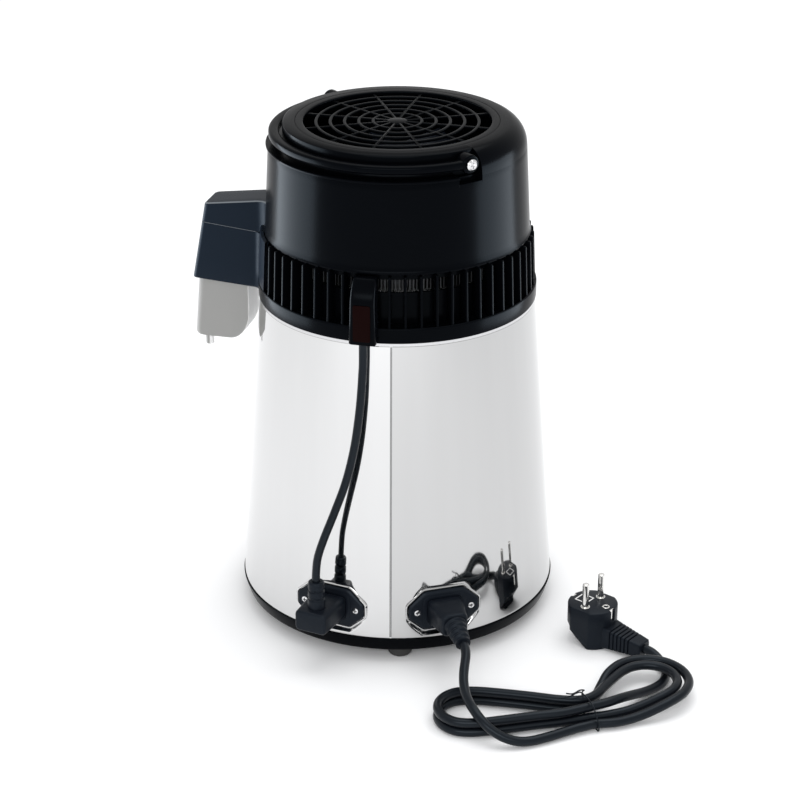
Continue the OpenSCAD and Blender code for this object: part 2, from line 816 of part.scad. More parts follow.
module top_cover() {
    tuck_r = drum_top_r - drum_wall - seat_gap;
    seat_r_in = insert_r - 4.5;
    block = 180 - 2 * asin(notch_w / 2 / neck_r);
    color("#0d0e12")
    difference() {
        union() {
            rotate_extrude() polygon([
                [tuck_r - 3, z_lip - 6], [tuck_r, z_lip - 6], [tuck_r, z_lip], [drum_top_r, z_lip],
                [drum_top_r, z_ledge], [neck_r, z_ledge], [neck_r, z_top - 1], [neck_r - 1, z_top],
                [insert_r + seat_gap, z_top], [insert_r + seat_gap, z_neck], [seat_r_in, z_neck],
                [seat_r_in, z_neck - 2], [neck_r - 3, z_neck - 2], [neck_r - 3, z_lip],
                [tuck_r - 3, z_lip]
            ]);
            rotate([0, 0, pivot_angle + 90 - block / 2]) rotate_extrude(angle = block) polygon([
                [neck_r - 1, z_ledge - 0.5], [drum_top_r, z_ledge - 0.5], [drum_top_r, z_ledge + 1],
                [drum_top_r - 0.9, z_ledge + 5], [drum_top_r - 3.2, z_ledge + 9],
                [drum_top_r - 6.4, z_top - 2.2], [neck_r - 1, z_top - 0.5]
            ]);
            rotate([0, 0, pivot_angle + 180]) rotate_extrude(angle = 180) polygon([
                [drum_top_r - 1, z_lip], [lip_r, z_lip], [lip_r, z_ledge], [drum_top_r - 1, z_ledge]
            ]);
            for (turn = [0, 180])
                at(pivot_angle + turn, neck_r - boss_in, z_pivot) rotate([0, 90, 0])
                    cylinder(r = 4.5, h = boss_in - 0.4, $fn = 32);
        }
        pivot_notches();
        for (turn = [0, 180])
            at(pivot_angle + turn, neck_r - boss_in - 1, z_pivot) rotate([0, 90, 0])
                cylinder(r = pivot_thread_r + 0.05, h = boss_in + 4, $fn = 32);
    }
}

module fan_grille() {
    bar_h = grille_t * 0.7;
    color("#101116") {
        round_ring(insert_r, opening_r, z_neck, z_top);
        translate([0, 0, z_neck]) cylinder(r = hub_r, h = bar_h, $fn = 48);
        for (r = [hub_r + bar_step : bar_step : opening_r - bar_step / 2])
            round_ring(r + bar_w / 2, r - bar_w / 2, z_neck, z_neck + bar_h);
        for (i = [0:spoke_count - 1])
            rotate([0, 0, (i + 0.5) * 360 / spoke_count])
                translate([hub_r - 1, -bar_w * 0.4, z_neck])
                    cube([opening_r - hub_r + 2, bar_w * 0.8, bar_h]);
    }
}

module fan_bracket() {
    reach = ring_out_r - ring_wall - 1;
    color("#8e9193")
    difference() {
        translate([0, 0, z_deck]) union() {
            cylinder(r = motor_r + 4, h = arm_t);
            for (i = [0:3])
                rotate([0, 0, 90 * i]) translate([0, -arm_w / 2, 0]) cube([reach, arm_w, arm_t]);
        }
        for (i = [0:3])
            at(90 * i, reach - 5, z_deck - 1) cylinder(r = m3_r + 0.2, h = arm_t + 2, $fn = 24);
    }
}

module bracket_screws() {
    color("#c8c9cc")
    for (i = [0:3])
        at(90 * i, ring_out_r - ring_wall - 6, z_deck + arm_t)
            screw(screw_head_r, screw_head_h, m3_r, arm_t);
}

module fan_motor() {
    color("#3a3b40") {
        translate([0, 0, z_motor]) {
            cylinder(r = motor_r, h = motor_h);
            for (i = [0:3])
                rotate([0, 0, 45 + 90 * i]) translate([motor_r - 1, -3, 0]) cube([3.5, 6, motor_h * 0.7]);
        }
        translate([0, 0, z_motor + motor_h]) cylinder(r = shaft_r, h = 3 + rotor_h - 2, $fn = 32);
    }
}

module fan_rotor() {
    hub = motor_r * 0.7;
    color("#26282c")
    difference() {
        union() {
            translate([0, 0, z_rotor]) cylinder(r = hub, h = rotor_h, $fn = 64);
            for (i = [0:blade_count - 1])
                rotate([0, 0, 360 * i / blade_count])
                    translate([hub - 2, 0, z_rotor + rotor_h / 2]) rotate([blade_pitch, 0, 0])
                        translate([0, -11, -blade_t / 2]) cube([blade_r - hub + 2, 22, blade_t]);
        }
        translate([0, 0, z_rotor - 1])
            cylinder(r = shaft_r + pivot_clearance, h = rotor_h - 1 + 0.5, $fn = 32);
    }
}

// The tube rises from the lid, winds down through the fins and leaves by the spout
coil_top = z_deck - coil_d / 2 - 1.2;
coil_drop = 21;
coil_low = coil_top - coil_drop;
coil_steps = 20 * coil_turns;
coil_start = spout_angle - 360 * coil_turns - 40;
z_lid_top = z_rim - lid_depth + lid_t;
outlet_r = cup_x + cup_l / 2;
coil_path = concat(
    [
        away(coil_start - 10, coil_r - 34, z_lid_top), away(coil_start - 10, coil_r - 34, coil_top - 20),
        away(coil_start - 9, coil_r - 33, coil_top - 10), away(coil_start - 5, coil_r - 28, coil_top - 3),
        away(coil_start + 2, coil_r - 20, coil_top), away(coil_start + 9, coil_r - 8, coil_top)
    ],
    [
        for (i = [0:coil_steps])
            away(coil_start + 40 + 360 * coil_turns * i / coil_steps - 24,
                 coil_r, coil_top - coil_drop * i / coil_steps)
    ],
    [
        away(spout_angle - 11, coil_r + 5, coil_low - 0.5), away(spout_angle - 4, coil_r + 12, coil_low - 1),
        away(spout_angle, coil_r + 22, coil_low - 1.2), away(spout_angle, outlet_r - 14, coil_low - 1.5),
        away(spout_angle, outlet_r - 6, coil_low - 3), away(spout_angle, outlet_r - 1.5, coil_low - 7),
        away(spout_angle, outlet_r, coil_low - 12)
    ]
);

module condenser_coil() {
    color("#c9ccd0") swept_tube(coil_path, coil_d / 2, 8);
}

module condenser_fins() {
    tip_r = ring_out_r - ring_wall - seat_gap;
    root_r = coil_r + coil_d / 2 + 5;
    color("#b9bcbf")
    translate([0, 0, z_deck - deck_t - 18]) linear_extrude(18) difference() {
        polygon([
            for (i = [0:cooling_fins - 1])
                let (a = 360 * i / cooling_fins, d = 90 / cooling_fins)
                each [
                    (root_r + 2) * [cos(a - d), sin(a - d)], tip_r * [cos(a - d / 3), sin(a - d / 3)],
                    tip_r * [cos(a + d / 3), sin(a + d / 3)], (root_r + 2) * [cos(a + d), sin(a + d)]
                ]
        ]);
        circle(r = root_r);
    }
}

// Spout and filter cup. In the spout's own frame +X points away from the axis
spout_top_out = spout_reach - spout_end_lean;
z_spout_top = z_rim + spout_h;
z_split = z_spout_top - spout_lid_h;

module spout_solid(inset) {
    in_r = drum_foot_r - 6;
    translate([0, spout_w / 2 - inset, 0]) rotate([90, 0, 0])
        linear_extrude(spout_w - 2 * inset) polygon([
            [in_r, z_spout - spout_sag - (inset > 0 ? 1 : 0)],
            [spout_reach - inset, z_spout - (inset > 0 ? 1 : 0)],
            [spout_top_out - inset, z_spout_top - spout_top_drop - inset * 2 - 3],
            [spout_top_out - 2 - inset, z_spout_top - spout_top_drop - inset],
            [in_r, z_spout_top - inset]
        ]);
}

module head_envelope() {
    rotate_extrude() polygon([
        [0, z_rim - 5], [skirt_r + seat_gap, z_rim - 5], [skirt_r + seat_gap, z_band],
        [fin_foot_r + seat_gap, z_band], [fin_top_r + seat_gap, z_drum],
        [drum_foot_r + 0.6 + seat_gap, z_drum + 1.8],
        [drum_r_at(z_top) + seat_gap, z_top], [0, z_top]
    ]);
}

// Room above the joint of the spout's two mouldings, which falls toward the drum
module above_split() {
    translate([spout_reach, 0, z_split]) rotate([0, -split_tilt, 0]) translate([-200, -100, 0])
        cube([300, 200, 300]);
}

module spout_body() {
    color("#0e0f13")
    rotate([0, 0, spout_angle]) difference() {
        spout_solid(0);
        spout_solid(spout_wall);
        above_split();
        rotate([0, 0, -spout_angle]) head_envelope();
    }
}

module spout_lid() {
    color("#0e0f13")
    rotate([0, 0, spout_angle]) difference() {
        intersection() {
            spout_solid(0);
            above_split();
        }
        spout_solid(spout_wall);
        rotate([0, 0, -spout_angle]) head_envelope();
    }
}

// Side outline of the cup, with its rounded inner corner
function cup_outline(inset, z_end) =
    let (
        x0 = cup_x + inset, x1 = cup_x + cup_l - inset, z0 = z_cup + inset,
        q = cup_round - inset, h = cup_curve_h - inset
    )
    concat(
        [[x1, z_end], [x0, z_end]],
        [for (a = [180:15:270]) [x0 + q + q * cos(a), z0 + h + h * sin(a)]],
        [[x1 + cup_lean - 3, z0], [x1 + cup_lean, z0 + 3]]
    );

module cup_solid(inset, z_end) {
    translate([0, cup_w / 2 - inset, 0]) rotate([90, 0, 0])
        linear_extrude(cup_w - 2 * inset) polygon(cup_outline(inset, z_end));
}

module filter_cup() {
    nozzle_x = cup_x + cup_l + cup_lean - cup_wall - nozzle_r - nozzle_in;
    color("#d7d9da")
    rotate([0, 0, spout_angle]) difference() {
        union() {
            cup_solid(0, z_spout + cup_grip);
            translate([nozzle_x, 0, z_cup - nozzle_h])
                cylinder(r = nozzle_r, h = nozzle_h + 1, $fn = 32);
        }
        cup_solid(cup_wall, z_spout + cup_grip + 1);
        translate([nozzle_x, 0, z_cup - nozzle_h - 1])
            cylinder(r = nozzle_bore_r, h = nozzle_h + 4, $fn = 32);
    }
}

module charcoal_sachet() {
    gap = cup_wall + 0.5;
    color("#e9e6df")
    rotate([0, 0, spout_angle])
        intersection() {
            cup_solid(gap, z_cup + 26);
            translate([cup_x, -cup_w / 2, z_cup + gap])
                cube([cup_l - 6, cup_w, 20]);
        }
}

// Handle
function handle_section(r0, r1, z0, z1, c) = [
    [r0 + c, z0], [r1 - c, z0], [r1, z0 + c], [r1, z1 - c], [r1 - c, z1], [r0 + c, z1],
    [r0, z1 - c], [r0, z0 + c]
];

module handle() {
    low = z_pivot - handle_t / 2;
    color("#0f1014")
    difference() {
        union() {
            rotate([0, 0, pivot_angle + 180]) rotate_extrude(angle = 180)
                polygon(handle_section(handle_in_r, handle_out_r, low, low + handle_t, 1.6));
            for (turn = [0, 180])
                at(pivot_angle + turn, handle_in_r - 1.2, z_pivot) rotate([0, 90, 0])
                    cylinder(r = eye_r, h = handle_out_r - handle_in_r + 1.2, $fn = 48);
        }
        for (turn = [0, 180])
            at(pivot_angle + turn, handle_in_r - 5, z_pivot) rotate([0, 90, 0])
                cylinder(r = shoulder_r + pivot_clearance, h = 20, $fn = 48);
    }
}

module pivot_screws() {
    seat = handle_out_r + 0.4;
    color("#d9dadc")
    for (turn = [0, 180])
        at(pivot_angle + turn, seat, z_pivot) rotate([0, 90, 0]) difference() {
            rotate_extrude($fn = 48) polygon([
                [0, neck_r - boss_in + 1 - seat], [pivot_thread_r, neck_r - boss_in + 1 - seat],
                [pivot_thread_r, neck_r - seat], [shoulder_r, neck_r - seat], [shoulder_r, 0],
                [pivot_head_r, 0], [pivot_head_r, pivot_head_h * 0.5],
                [pivot_head_r * 0.7, pivot_head_h], [0, pivot_head_h]
            ]);
            for (cross_turn = [0, 90])
                rotate([0, 0, cross_turn]) translate([-2.2, -0.5, pivot_head_h * 0.4])
                    cube([4.4, 1, pivot_head_h]);
        }
}

// The outlet box that the fan lead leaves by
z_box_top = z_drum - seat_gap;

module outlet_box() {
    inner_r = skirt_r + seat_gap;
    color("#0e0f13")
    rotate([0, 0, box_angle]) translate([0, box_w / 2, 0]) rotate([90, 0, 0])
        linear_extrude(box_w) polygon([
            [inner_r, z_rim + 1], [box_face_r, z_rim + 1], [box_face_r - 0.5, z_drum - 15],
            [fin_top_r + 2.4, z_box_top], [ring_out_r + seat_gap, z_box_top],
            [ring_out_r + seat_gap, z_band + seat_gap], [inner_r, z_band + seat_gap]
        ]);
}

module outlet_panel() {
    color("#5a1f22")
    at(box_angle, box_face_r, z_rim + 4) translate([0, -6, 0]) cube([0.8, 12, 26]);
}

// Leads. A connector's nose fills the socket's recess and clears its pins
module connector_nose() {
    depth = recess_depth - 1;
    difference() {
        translate([-depth + plate_t, -connector_w / 2, -connector_h / 2])
            cube([depth - plate_t + plate_t + connector_gap, connector_w, connector_h]);
        for (place = pin_places)
            translate([
                -depth + plate_t - 1, place.x - pin_blade.x / 2 - pin_slot_gap,
                place.y - pin_blade.y / 2 - pin_slot_gap
            ])
                cube([pin_blade.z + 1, pin_blade.x + 2 * pin_slot_gap, pin_blade.y + 2 * pin_slot_gap]);
    }
}

module fan_connector() {
    start = plate_t + connector_gap;
    color("#161618")
    at(fan_angle, seat_r, z_socket) {
        connector_nose();
        translate([start, -grip_w / 2, grip_h / 2 - fan_grip_h]) cube([fan_grip_l, grip_w, fan_grip_h]);
        translate([fan_boot_at_r - seat_r, 0, grip_h / 2]) rotate([0, -90, 0])
            ribbed_boot(fan_boot_r + 1, fan_boot_r, fan_boot_h, 3);
    }
}

module mains_connector() {
    start = plate_t + connector_gap;
    color("#161618")
    at(mains_angle, seat_r, z_socket) {
        connector_nose();
        translate([start, -grip_w / 2, -grip_h / 2]) cube([mains_grip_l, grip_w, grip_h]);
        translate([start + mains_grip_l - 1, 0, 0]) rotate([0, 90, 0])
            cylinder(r = boot_r + 1, h = 3.2, $fn = 40);
        translate([start + mains_grip_l, 0, 0]) rotate([0, boot_tilt, 0])
            ribbed_boot(boot_r + 1.5, boot_r, boot_l, 4);
    }
}

module fan_lead() {
    color("#1a1a1c") swept_tube(lead_path, lead_d / 2, 10);
}

module mains_cord() {
    color("#1a1a1c") swept_tube(cord_path, cord_d / 2, 10);
}

module mains_hank() {
    color("#1a1a1c") swept_tube(hank_path, cord_d / 2, 6);
}

module plug_cord() {
    color("#1a1a1c") swept_tube(plug_path, cord_d / 2, 10);
}

module twist_tie() {
    out = strand + cord_d / 2 + tie_r + 3.4;
    top = z_second + cord_d / 2 + tie_r + 0.8;
    near = cord_d / 2 + tie_r + 0.9 - first_w;
    loop = [
        [-21, 3, top + 2], [-14, 4.5, top + 2.5], [-7, out - 6, top + 1.8], [-2, out - 5, top + 0.4],
        [-0.6, -4.5, top], [-0.3, -near + 2, 9.4], [0, -near, 7], [0, -near, 3],
        [0, -near + 2.4, tie_r + 0.1], [0, 0, tie_r + 0.1], [0, out - 2.4, tie_r + 0.1],
        [0.4, out, 3], [0.9, out, top - 4], [0.9, out - 0.8, top - 1], [0.2, out - 4, top + 1.9],
        [-5, out - 6.5, top + 4], [-12, 3, top + 5.4], [-17, 1, top + 7]
    ];
    color("#1d1d1f") swept_tube([for (p = loop) on_hank(p)], tie_r, 6);
}

module plug_place() {
    translate([plug_at.x, plug_at.y, 0]) rotate([0, 0, plug_heading]) children();
}

// The plug stands on its back, pins up, with its cord leaving low along +X
// Edge of the neck from the plug's middle to the cord, with a groove between ribs
function ribbed_edge(from, to, groove) = concat(
    [[0, from]],
    [
        for (i = [0:plug_ribs - 1])
            let (x = rib_start + rib_step * i, y = from + (to - from) * x / plug_boot_end)
            each [[x, y], [x, y - groove], [x + rib_step * 0.4, y - groove], [x + rib_step * 0.4, y]]
    ],
    [[plug_boot_end, to]]
);

module plug_neck() {
    side = ribbed_edge(neck_root_w / 2, neck_end_w / 2, rib_depth);
    top = ribbed_edge(neck_root_h, plug_boot_z + neck_end_h / 2, rib_depth);
    intersection() {
        linear_extrude(plug_face_z)
            polygon(concat(side, [for (i = [len(side) - 1:-1:0]) [side[i][0], -side[i][1]]]));
        translate([0, plug_r, 0]) rotate([90, 0, 0]) linear_extrude(2 * plug_r)
            polygon(concat(top, [[plug_boot_end, plug_boot_z - neck_end_h / 2], [0, 0.3]]));
    }
}

module plug_body() {
    color("#17171a")
    plug_place() difference() {
        union() {
            intersection() {
                cylinder(r = plug_r, h = plug_face_z, $fn = 64);
                translate([-plug_r, -plug_flat, 0]) cube([2 * plug_r, 2 * plug_flat, plug_face_z]);
                translate([0, 30, 0]) rotate([90, 0, 0]) linear_extrude(60) polygon([
                    [plug_heel, 0], [plug_r, 0], [plug_r, plug_face_z],
                    [-plug_r, plug_face_z], [-plug_r, plug_heel_h]
                ]);
            }
            plug_neck();
        }
        for (side = [-1, 1])
            translate([0, side * pin_span / 2, plug_face_z - 6])
                cylinder(r = pin_shank_r + 0.05, h = 10, $fn = 32);
        translate([11.5, 0, plug_face_z - 10]) cylinder(r = 2.6, h = 12, $fn = 32);
        for (side = [-1, 1])
            translate([side > 0 ? plug_r - 2.4 : -plug_r - 1, -4, plug_face_z - 12])
                cube([3.4, 8, 14]);
    }
}

module plug_pins() {
    color("#cfd0d2")
    plug_place()
        for (side = [-1, 1])
            translate([0, side * pin_span / 2, plug_face_z - 6])
                rotate_extrude($fn = 32) polygon([
                    [0, 0], [pin_shank_r, 0], [pin_shank_r, 6.3], [pin_d / 2, 6.3],
                    [pin_d / 2, 6 + pin_l - 2],
                    [pin_d / 2 - 1.4, 6 + pin_l], [0, 6 + pin_l]
                ]);
}

module earth_contacts() {
    color("#cfd0d2")
    plug_place()
        for (side = [-1, 1])
            translate([side > 0 ? plug_r - 2.3 : -plug_r + 1.3, -3.5, plug_face_z - 11.9])
                cube([1, 7, 11.6]);
}

feet();
base_cover();
base_screws();
outer_body();
boiler_pot();
heater_plate();
heating_element();
thermostat();
thermal_fuse();
heat_shield();
mains_socket();
fan_socket();
socket_pins();
socket_screws();
seal_ring();
inner_lid();
vent_band();
head_drum();
top_cover();
fan_grille();
fan_bracket();
bracket_screws();
fan_motor();
fan_rotor();
condenser_coil();
condenser_fins();
spout_body();
spout_lid();
filter_cup();
charcoal_sachet();
handle();
pivot_screws();
outlet_box();
outlet_panel();
fan_connector();
fan_lead();
mains_connector();
mains_cord();
mains_hank();
twist_tie();
plug_cord();
plug_body();
plug_pins();
earth_contacts();
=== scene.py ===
"""Looks, camera and light of a countertop water distiller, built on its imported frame."""

from __future__ import annotations

import json
import logging
import math
from dataclasses import dataclass, field, replace
from enum import Enum
from typing import Sequence

import bmesh
import bpy
import numpy as np
from numpy.typing import NDArray
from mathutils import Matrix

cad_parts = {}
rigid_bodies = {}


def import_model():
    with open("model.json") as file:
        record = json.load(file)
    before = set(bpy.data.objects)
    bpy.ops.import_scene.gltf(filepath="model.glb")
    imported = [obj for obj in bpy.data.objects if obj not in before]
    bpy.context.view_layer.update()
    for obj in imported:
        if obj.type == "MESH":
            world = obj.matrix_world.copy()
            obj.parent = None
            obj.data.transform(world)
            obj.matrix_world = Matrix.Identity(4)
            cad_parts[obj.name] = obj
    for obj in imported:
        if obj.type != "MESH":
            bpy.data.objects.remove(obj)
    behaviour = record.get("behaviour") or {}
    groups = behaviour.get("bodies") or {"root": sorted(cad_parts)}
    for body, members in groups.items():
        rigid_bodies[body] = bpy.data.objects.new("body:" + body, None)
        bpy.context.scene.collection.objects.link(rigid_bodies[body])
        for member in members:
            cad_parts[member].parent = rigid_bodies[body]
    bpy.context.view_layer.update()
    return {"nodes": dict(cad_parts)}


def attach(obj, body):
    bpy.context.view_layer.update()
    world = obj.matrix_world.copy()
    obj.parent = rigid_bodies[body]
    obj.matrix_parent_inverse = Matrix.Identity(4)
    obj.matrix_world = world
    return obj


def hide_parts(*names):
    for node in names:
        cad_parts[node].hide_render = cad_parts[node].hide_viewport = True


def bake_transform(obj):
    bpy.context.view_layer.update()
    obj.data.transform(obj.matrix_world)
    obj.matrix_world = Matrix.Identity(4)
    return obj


Array = NDArray[np.float64]
Pair = tuple[float, float]
Triple = tuple[float, float, float]
Route = tuple[Triple, ...]
LOG = logging.getLogger("distiller")
MM = 0.001

# Degrees and millimetres that several pieces share
MAINS_ANGLE, FAN_ANGLE = -73.0, -115.0
SPOUT_ANGLE, OUTLET_ANGLE = 165.0, -103.0
PIVOT_ANGLE, NOTCH_HALF, NOTCH_Z = -57.0, 9.25, 346.7
SEAT_R, SEAT_Z = 110.6, 40.0
BOOT_TILT = 14.0
PLUG_AT, PLUG_HEADING, PLUG_BOOT = (141.0, -81.0), -40.0, 46.0


class Body(Enum):
    """Bodies of the frame that pieces ride on."""

    BASE = "base"
    HEAD = "head"
    HANDLE = "carry_handle"
    CUP = "cup"
    LEAD = "mains_lead"


# Surfaces


@dataclass
class Patch:
    """Grid of points in millimetres, joined into quads, with flat faces on its capped ends."""

    points: Array
    wrap_rows: bool = False
    wrap_columns: bool = True
    cap_first: bool = False
    cap_last: bool = False

    def faces(self, start: int) -> list[list[int]]:
        """Faces of the grid.

        Args:
            start: index of the patch's first point in the whole mesh.

        Returns:
            Quads between neighbouring points, and one face for each capped end.
        """
        rows, columns = self.points.shape[:2]
        index = start + np.arange(rows * columns).reshape(rows, columns)
        first, last = index[0].tolist(), index[-1].tolist()
        if self.wrap_rows:
            index = np.vstack([index, index[:1]])
        if self.wrap_columns:
            index = np.hstack([index, index[:, :1]])
        corners = [index[:-1, :-1], index[:-1, 1:], index[1:, 1:], index[1:, :-1]]
        quads = np.stack(corners, axis=-1).reshape(-1, 4).tolist()
        if self.cap_first:
            quads.append(first[::-1])
        if self.cap_last:
            quads.append(last)
        return quads

    def moved(self, by: Sequence[float]) -> Patch:
        """The patch, shifted by a vector."""
        return replace(self, points=self.points + np.asarray(by))


@dataclass(frozen=True)
class Place:
    """Right-handed local frame, with its origin and axes given in the part's frame."""

    origin: Array
    axes: Array

    def put(self, points: Array) -> Array:
        """Points of the local frame, carried into the part's frame."""
        return self.origin + points @ self.axes

    def carry(self, patch: Patch) -> Patch:
        """A patch whose points are carried into the part's frame."""
        return replace(patch, points=self.put(patch.points))

    @staticmethod
    def radial(angle: float, r: float = 0.0, z: float = 0.0) -> Place:
        """Frame at an angle round the axis: x outward, y along the turn, z up."""
        a = math.radians(angle)
        out = np.array([math.cos(a), math.sin(a), 0.0])
        side = np.array([-out[1], out[0], 0.0])
        up = np.array([0.0, 0.0, 1.0])
        return Place(out * r + up * z, np.array([out, side, up]))

    @staticmethod
    def outward(angle: float, r: float = 0.0, z: float = 0.0) -> Place:
        """Frame at an angle round the axis: x along the turn, y up, z outward."""
        flat = Place.radial(angle, r, z)
        return Place(flat.origin, flat.axes[[1, 2, 0]])


def turns(count: int, extra: Sequence[float] = ()) -> Array:
    """Angles round the axis in radians, evenly spaced, with extra ones in degrees sorted in."""
    even = np.arange(count) * 2 * np.pi / count
    return np.unique(np.concatenate([even, np.radians(np.asarray(extra)) % (2 * np.pi)]))


def notch_edges(middle: float, half: float, gap: float) -> list[float]:
    """Angles a gap to each side of the edges of two opposite notches, in degrees."""
    return [
        middle + turn + side * (half + d)
        for turn in (0, 180) for side in (-1, 1) for d in (-gap, gap)
    ]


def rounded(
    corners: Sequence[Sequence[float]], radius: float | Sequence[float], steps: int = 4
) -> Array:
    """Closed outline with rounded corners.

    Each corner becomes the quadratic curve (1-t)^2 a + 2t(1-t) p + t^2 b from a to b, the points
    of its two sides at the radius from the corner p, or at just under half the side where that
    is shorter.

    Args:
        corners: corner points in order.
        radius: distance from a corner at which its curve starts, one value or one for each.
        steps: spans in each curve.

    Returns:
        Points of the outline, steps + 1 for each corner.
    """
    p = np.asarray(corners, dtype=float)
    before, after = np.roll(p, 1, axis=0) - p, np.roll(p, -1, axis=0) - p
    long_a, long_b = np.linalg.norm(before, axis=1), np.linalg.norm(after, axis=1)
    r = np.minimum(np.broadcast_to(radius, len(p)), 0.49 * np.minimum(long_a, long_b))
    a = p + before * (r / long_a)[:, None]
    b = p + after * (r / long_b)[:, None]
    t = np.linspace(0, 1, steps + 1)[None, :, None]
    curve = (1 - t) ** 2 * a[:, None] + 2 * t * (1 - t) * p[:, None] + t**2 * b[:, None]
    return curve.reshape(-1, 2)


def box_outline(
    x0: float, x1: float, y0: float, y1: float, radius: float | Sequence[float], steps: int = 4
) -> Array:
    """Outline of a rectangle with rounded corners, anticlockwise from its low left one."""
    return rounded([(x0, y0), (x1, y0), (x1, y1), (x0, y1)], radius, steps)


def centred_box(w: float, h: float, radius: float, steps: int) -> Array:
    """Outline of a rounded rectangle about the origin, from half its width and height."""
    return box_outline(-w, w, -h, h, radius, steps)


def inset(outline: Array, depth: float) -> Array:
    """An anticlockwise outline moved inward by depth along its points' normals."""
    along = np.roll(outline, -1, axis=0) - np.roll(outline, 1, axis=0)
    normal = np.stack([along[:, 1], -along[:, 0]], axis=-1)
    length = np.maximum(np.linalg.norm(normal, axis=1, keepdims=True), 1e-9)
    return outline - normal / length * depth


def by_angle(outline: Array, count: int) -> Array:
    """An outline round its origin, sampled again where even rays from the origin meet it."""
    angle = np.unwrap(np.arctan2(outline[:, 1], outline[:, 0]))
    reach = np.concatenate([outline, outline, outline])
    spread = np.concatenate([angle - 2 * np.pi, angle, angle + 2 * np.pi])
    want = np.arange(count) * 2 * np.pi / count
    return np.stack([np.interp(want, spread, axis) for axis in reach.T], axis=-1)


def polar(r: Array | float, t: Array) -> Array:
    """Points (r cos t, r sin t)."""
    return np.stack([r * np.cos(t), r * np.sin(t)], axis=-1)


def around(r: Array, z: Array, t: Array) -> Array:
    """Points (r cos t, r sin t, z) over radii, heights and angles that broadcast together."""
    return np.concatenate([polar(r, t), (z + 0 * t)[..., None]], axis=-1)


def revolve(profile: Array, angles: Array, closed: bool = True) -> Patch:
    """Surface of a profile (r, z) turned about the axis: (r cos t, r sin t, z) over angles t."""
    return Patch(around(profile[:, :1], profile[:, 1:], angles), wrap_rows=closed)


def sweep(section: Array, start: float, stop: float, count: int) -> Patch:
    """A section (r, z) turned about the axis from one angle to another, capped at both ends."""
    turned = revolve(section, np.radians(np.linspace(start, stop, count)))
    return Patch(turned.points.transpose(1, 0, 2), cap_first=True, cap_last=True)


def loft(
    outlines: Sequence[Array], heights: Sequence[Array | float], closed: bool = False
) -> Patch:
    """Surface through outlines of equal count at their heights, capped unless it's closed."""
    flat = np.asarray(outlines)
    z = np.stack([np.broadcast_to(h, flat.shape[1]) for h in heights])
    points = np.concatenate([flat, z[..., None]], axis=-1)
    return Patch(points, wrap_rows=closed, cap_first=not closed, cap_last=not closed)


def prism(
    low: Array, high: Array, z0: float, z1: float, edge: float, steps: int = 3, spans: int = 1
) -> Patch:
    """Solid between two outlines, with its two rims rounded.

    At the height fraction f the outline is low + f (high - low). Within the edge of an end it's
    moved inward by edge (1 - sin t) at the height edge (1 - cos t) from that end, for t from 0
    to a right angle.

    Args:
        low: outline at z0.
        high: outline at z1, of the same count.
        z0: lower end.
        z1: upper end.
        edge: radius of the rims.
        steps: spans in each rounded rim.
        spans: spans between the rims.

    Returns:
        Capped patch of the solid.
    """
    t = np.linspace(0, np.pi / 2, steps + 1)
    ease, rise = edge * (1 - np.sin(t)), edge * (1 - np.cos(t))
    middle = np.linspace(z0 + edge, z1 - edge, spans + 1)[1:-1]
    heights = np.concatenate([z0 + rise, middle, (z1 - rise)[::-1]])
    insets = np.concatenate([ease, np.zeros(len(middle)), ease[::-1]])
    f = (heights - z0) / (z1 - z0)
    rings = [inset(low + k * (high - low), d) for k, d in zip(f, insets)]
    return loft(rings, heights.tolist())


def tube(path: Array, radius: float, sides: int) -> Patch:
    """Circle carried along a path.

    At each point the circle's first ray is a fixed ray less its part along the path, and its
    second is their cross product, so the section p + r (n cos t + b sin t) stays square to the
    path.
    """
    ahead = np.gradient(path, axis=0)
    ahead /= np.linalg.norm(ahead, axis=1, keepdims=True)
    ray = np.array([0.31, 0.22, 0.92])
    n = ray - (ahead @ ray)[:, None] * ahead
    n /= np.linalg.norm(n, axis=1, keepdims=True)
    b = np.cross(ahead, n)
    t = turns(sides)[:, None]
    points = path[:, None] + radius * (n[:, None] * np.cos(t) + b[:, None] * np.sin(t))
    return Patch(points, cap_first=True, cap_last=True)


def smooth_path(points: Array, steps: int) -> Array:
    """Curve through points: Hermite spans, sloped by half the step between the neighbours."""
    p = np.asarray(points, dtype=float)
    padded = np.vstack([p[:1], p, p[-1:]])
    slope = (padded[2:] - padded[:-2]) / 2
    u = (np.arange(steps) / steps)[None, :, None]
    start = (2 * u**3 - 3 * u**2 + 1) * p[:-1, None] + (u**3 - 2 * u**2 + u) * slope[:-1, None]
    end = (3 * u**2 - 2 * u**3) * p[1:, None] + (u**3 - u**2) * slope[1:, None]
    return np.vstack([(start + end).reshape(-1, 3), p[-1:]])


def eased(points: Array, passes: int) -> Array:
    """A path whose inner points are averaged with their neighbours, weighted one, two, one."""
    p = np.array(points, dtype=float)
    for _ in range(passes):
        p[1:-1] = (p[:-2] + 2 * p[1:-1] + p[2:]) / 4
    return p


def unit(v: Array) -> Array:
    """A vector at length one."""
    return v / np.linalg.norm(v)


def path_length(path: Array) -> float:
    """Length of a path, as the sum of its steps."""
    return float(np.linalg.norm(np.diff(path, axis=0), axis=1).sum())


def quarter(f: Array) -> Array:
    """Gap between a quarter circle and its tangent at the fraction f: 1 - sqrt(1 - (1-f)^2)."""
    return 1 - np.sqrt(np.maximum(1 - (1 - np.clip(f, 0, 1)) ** 2, 0))


# Finishes


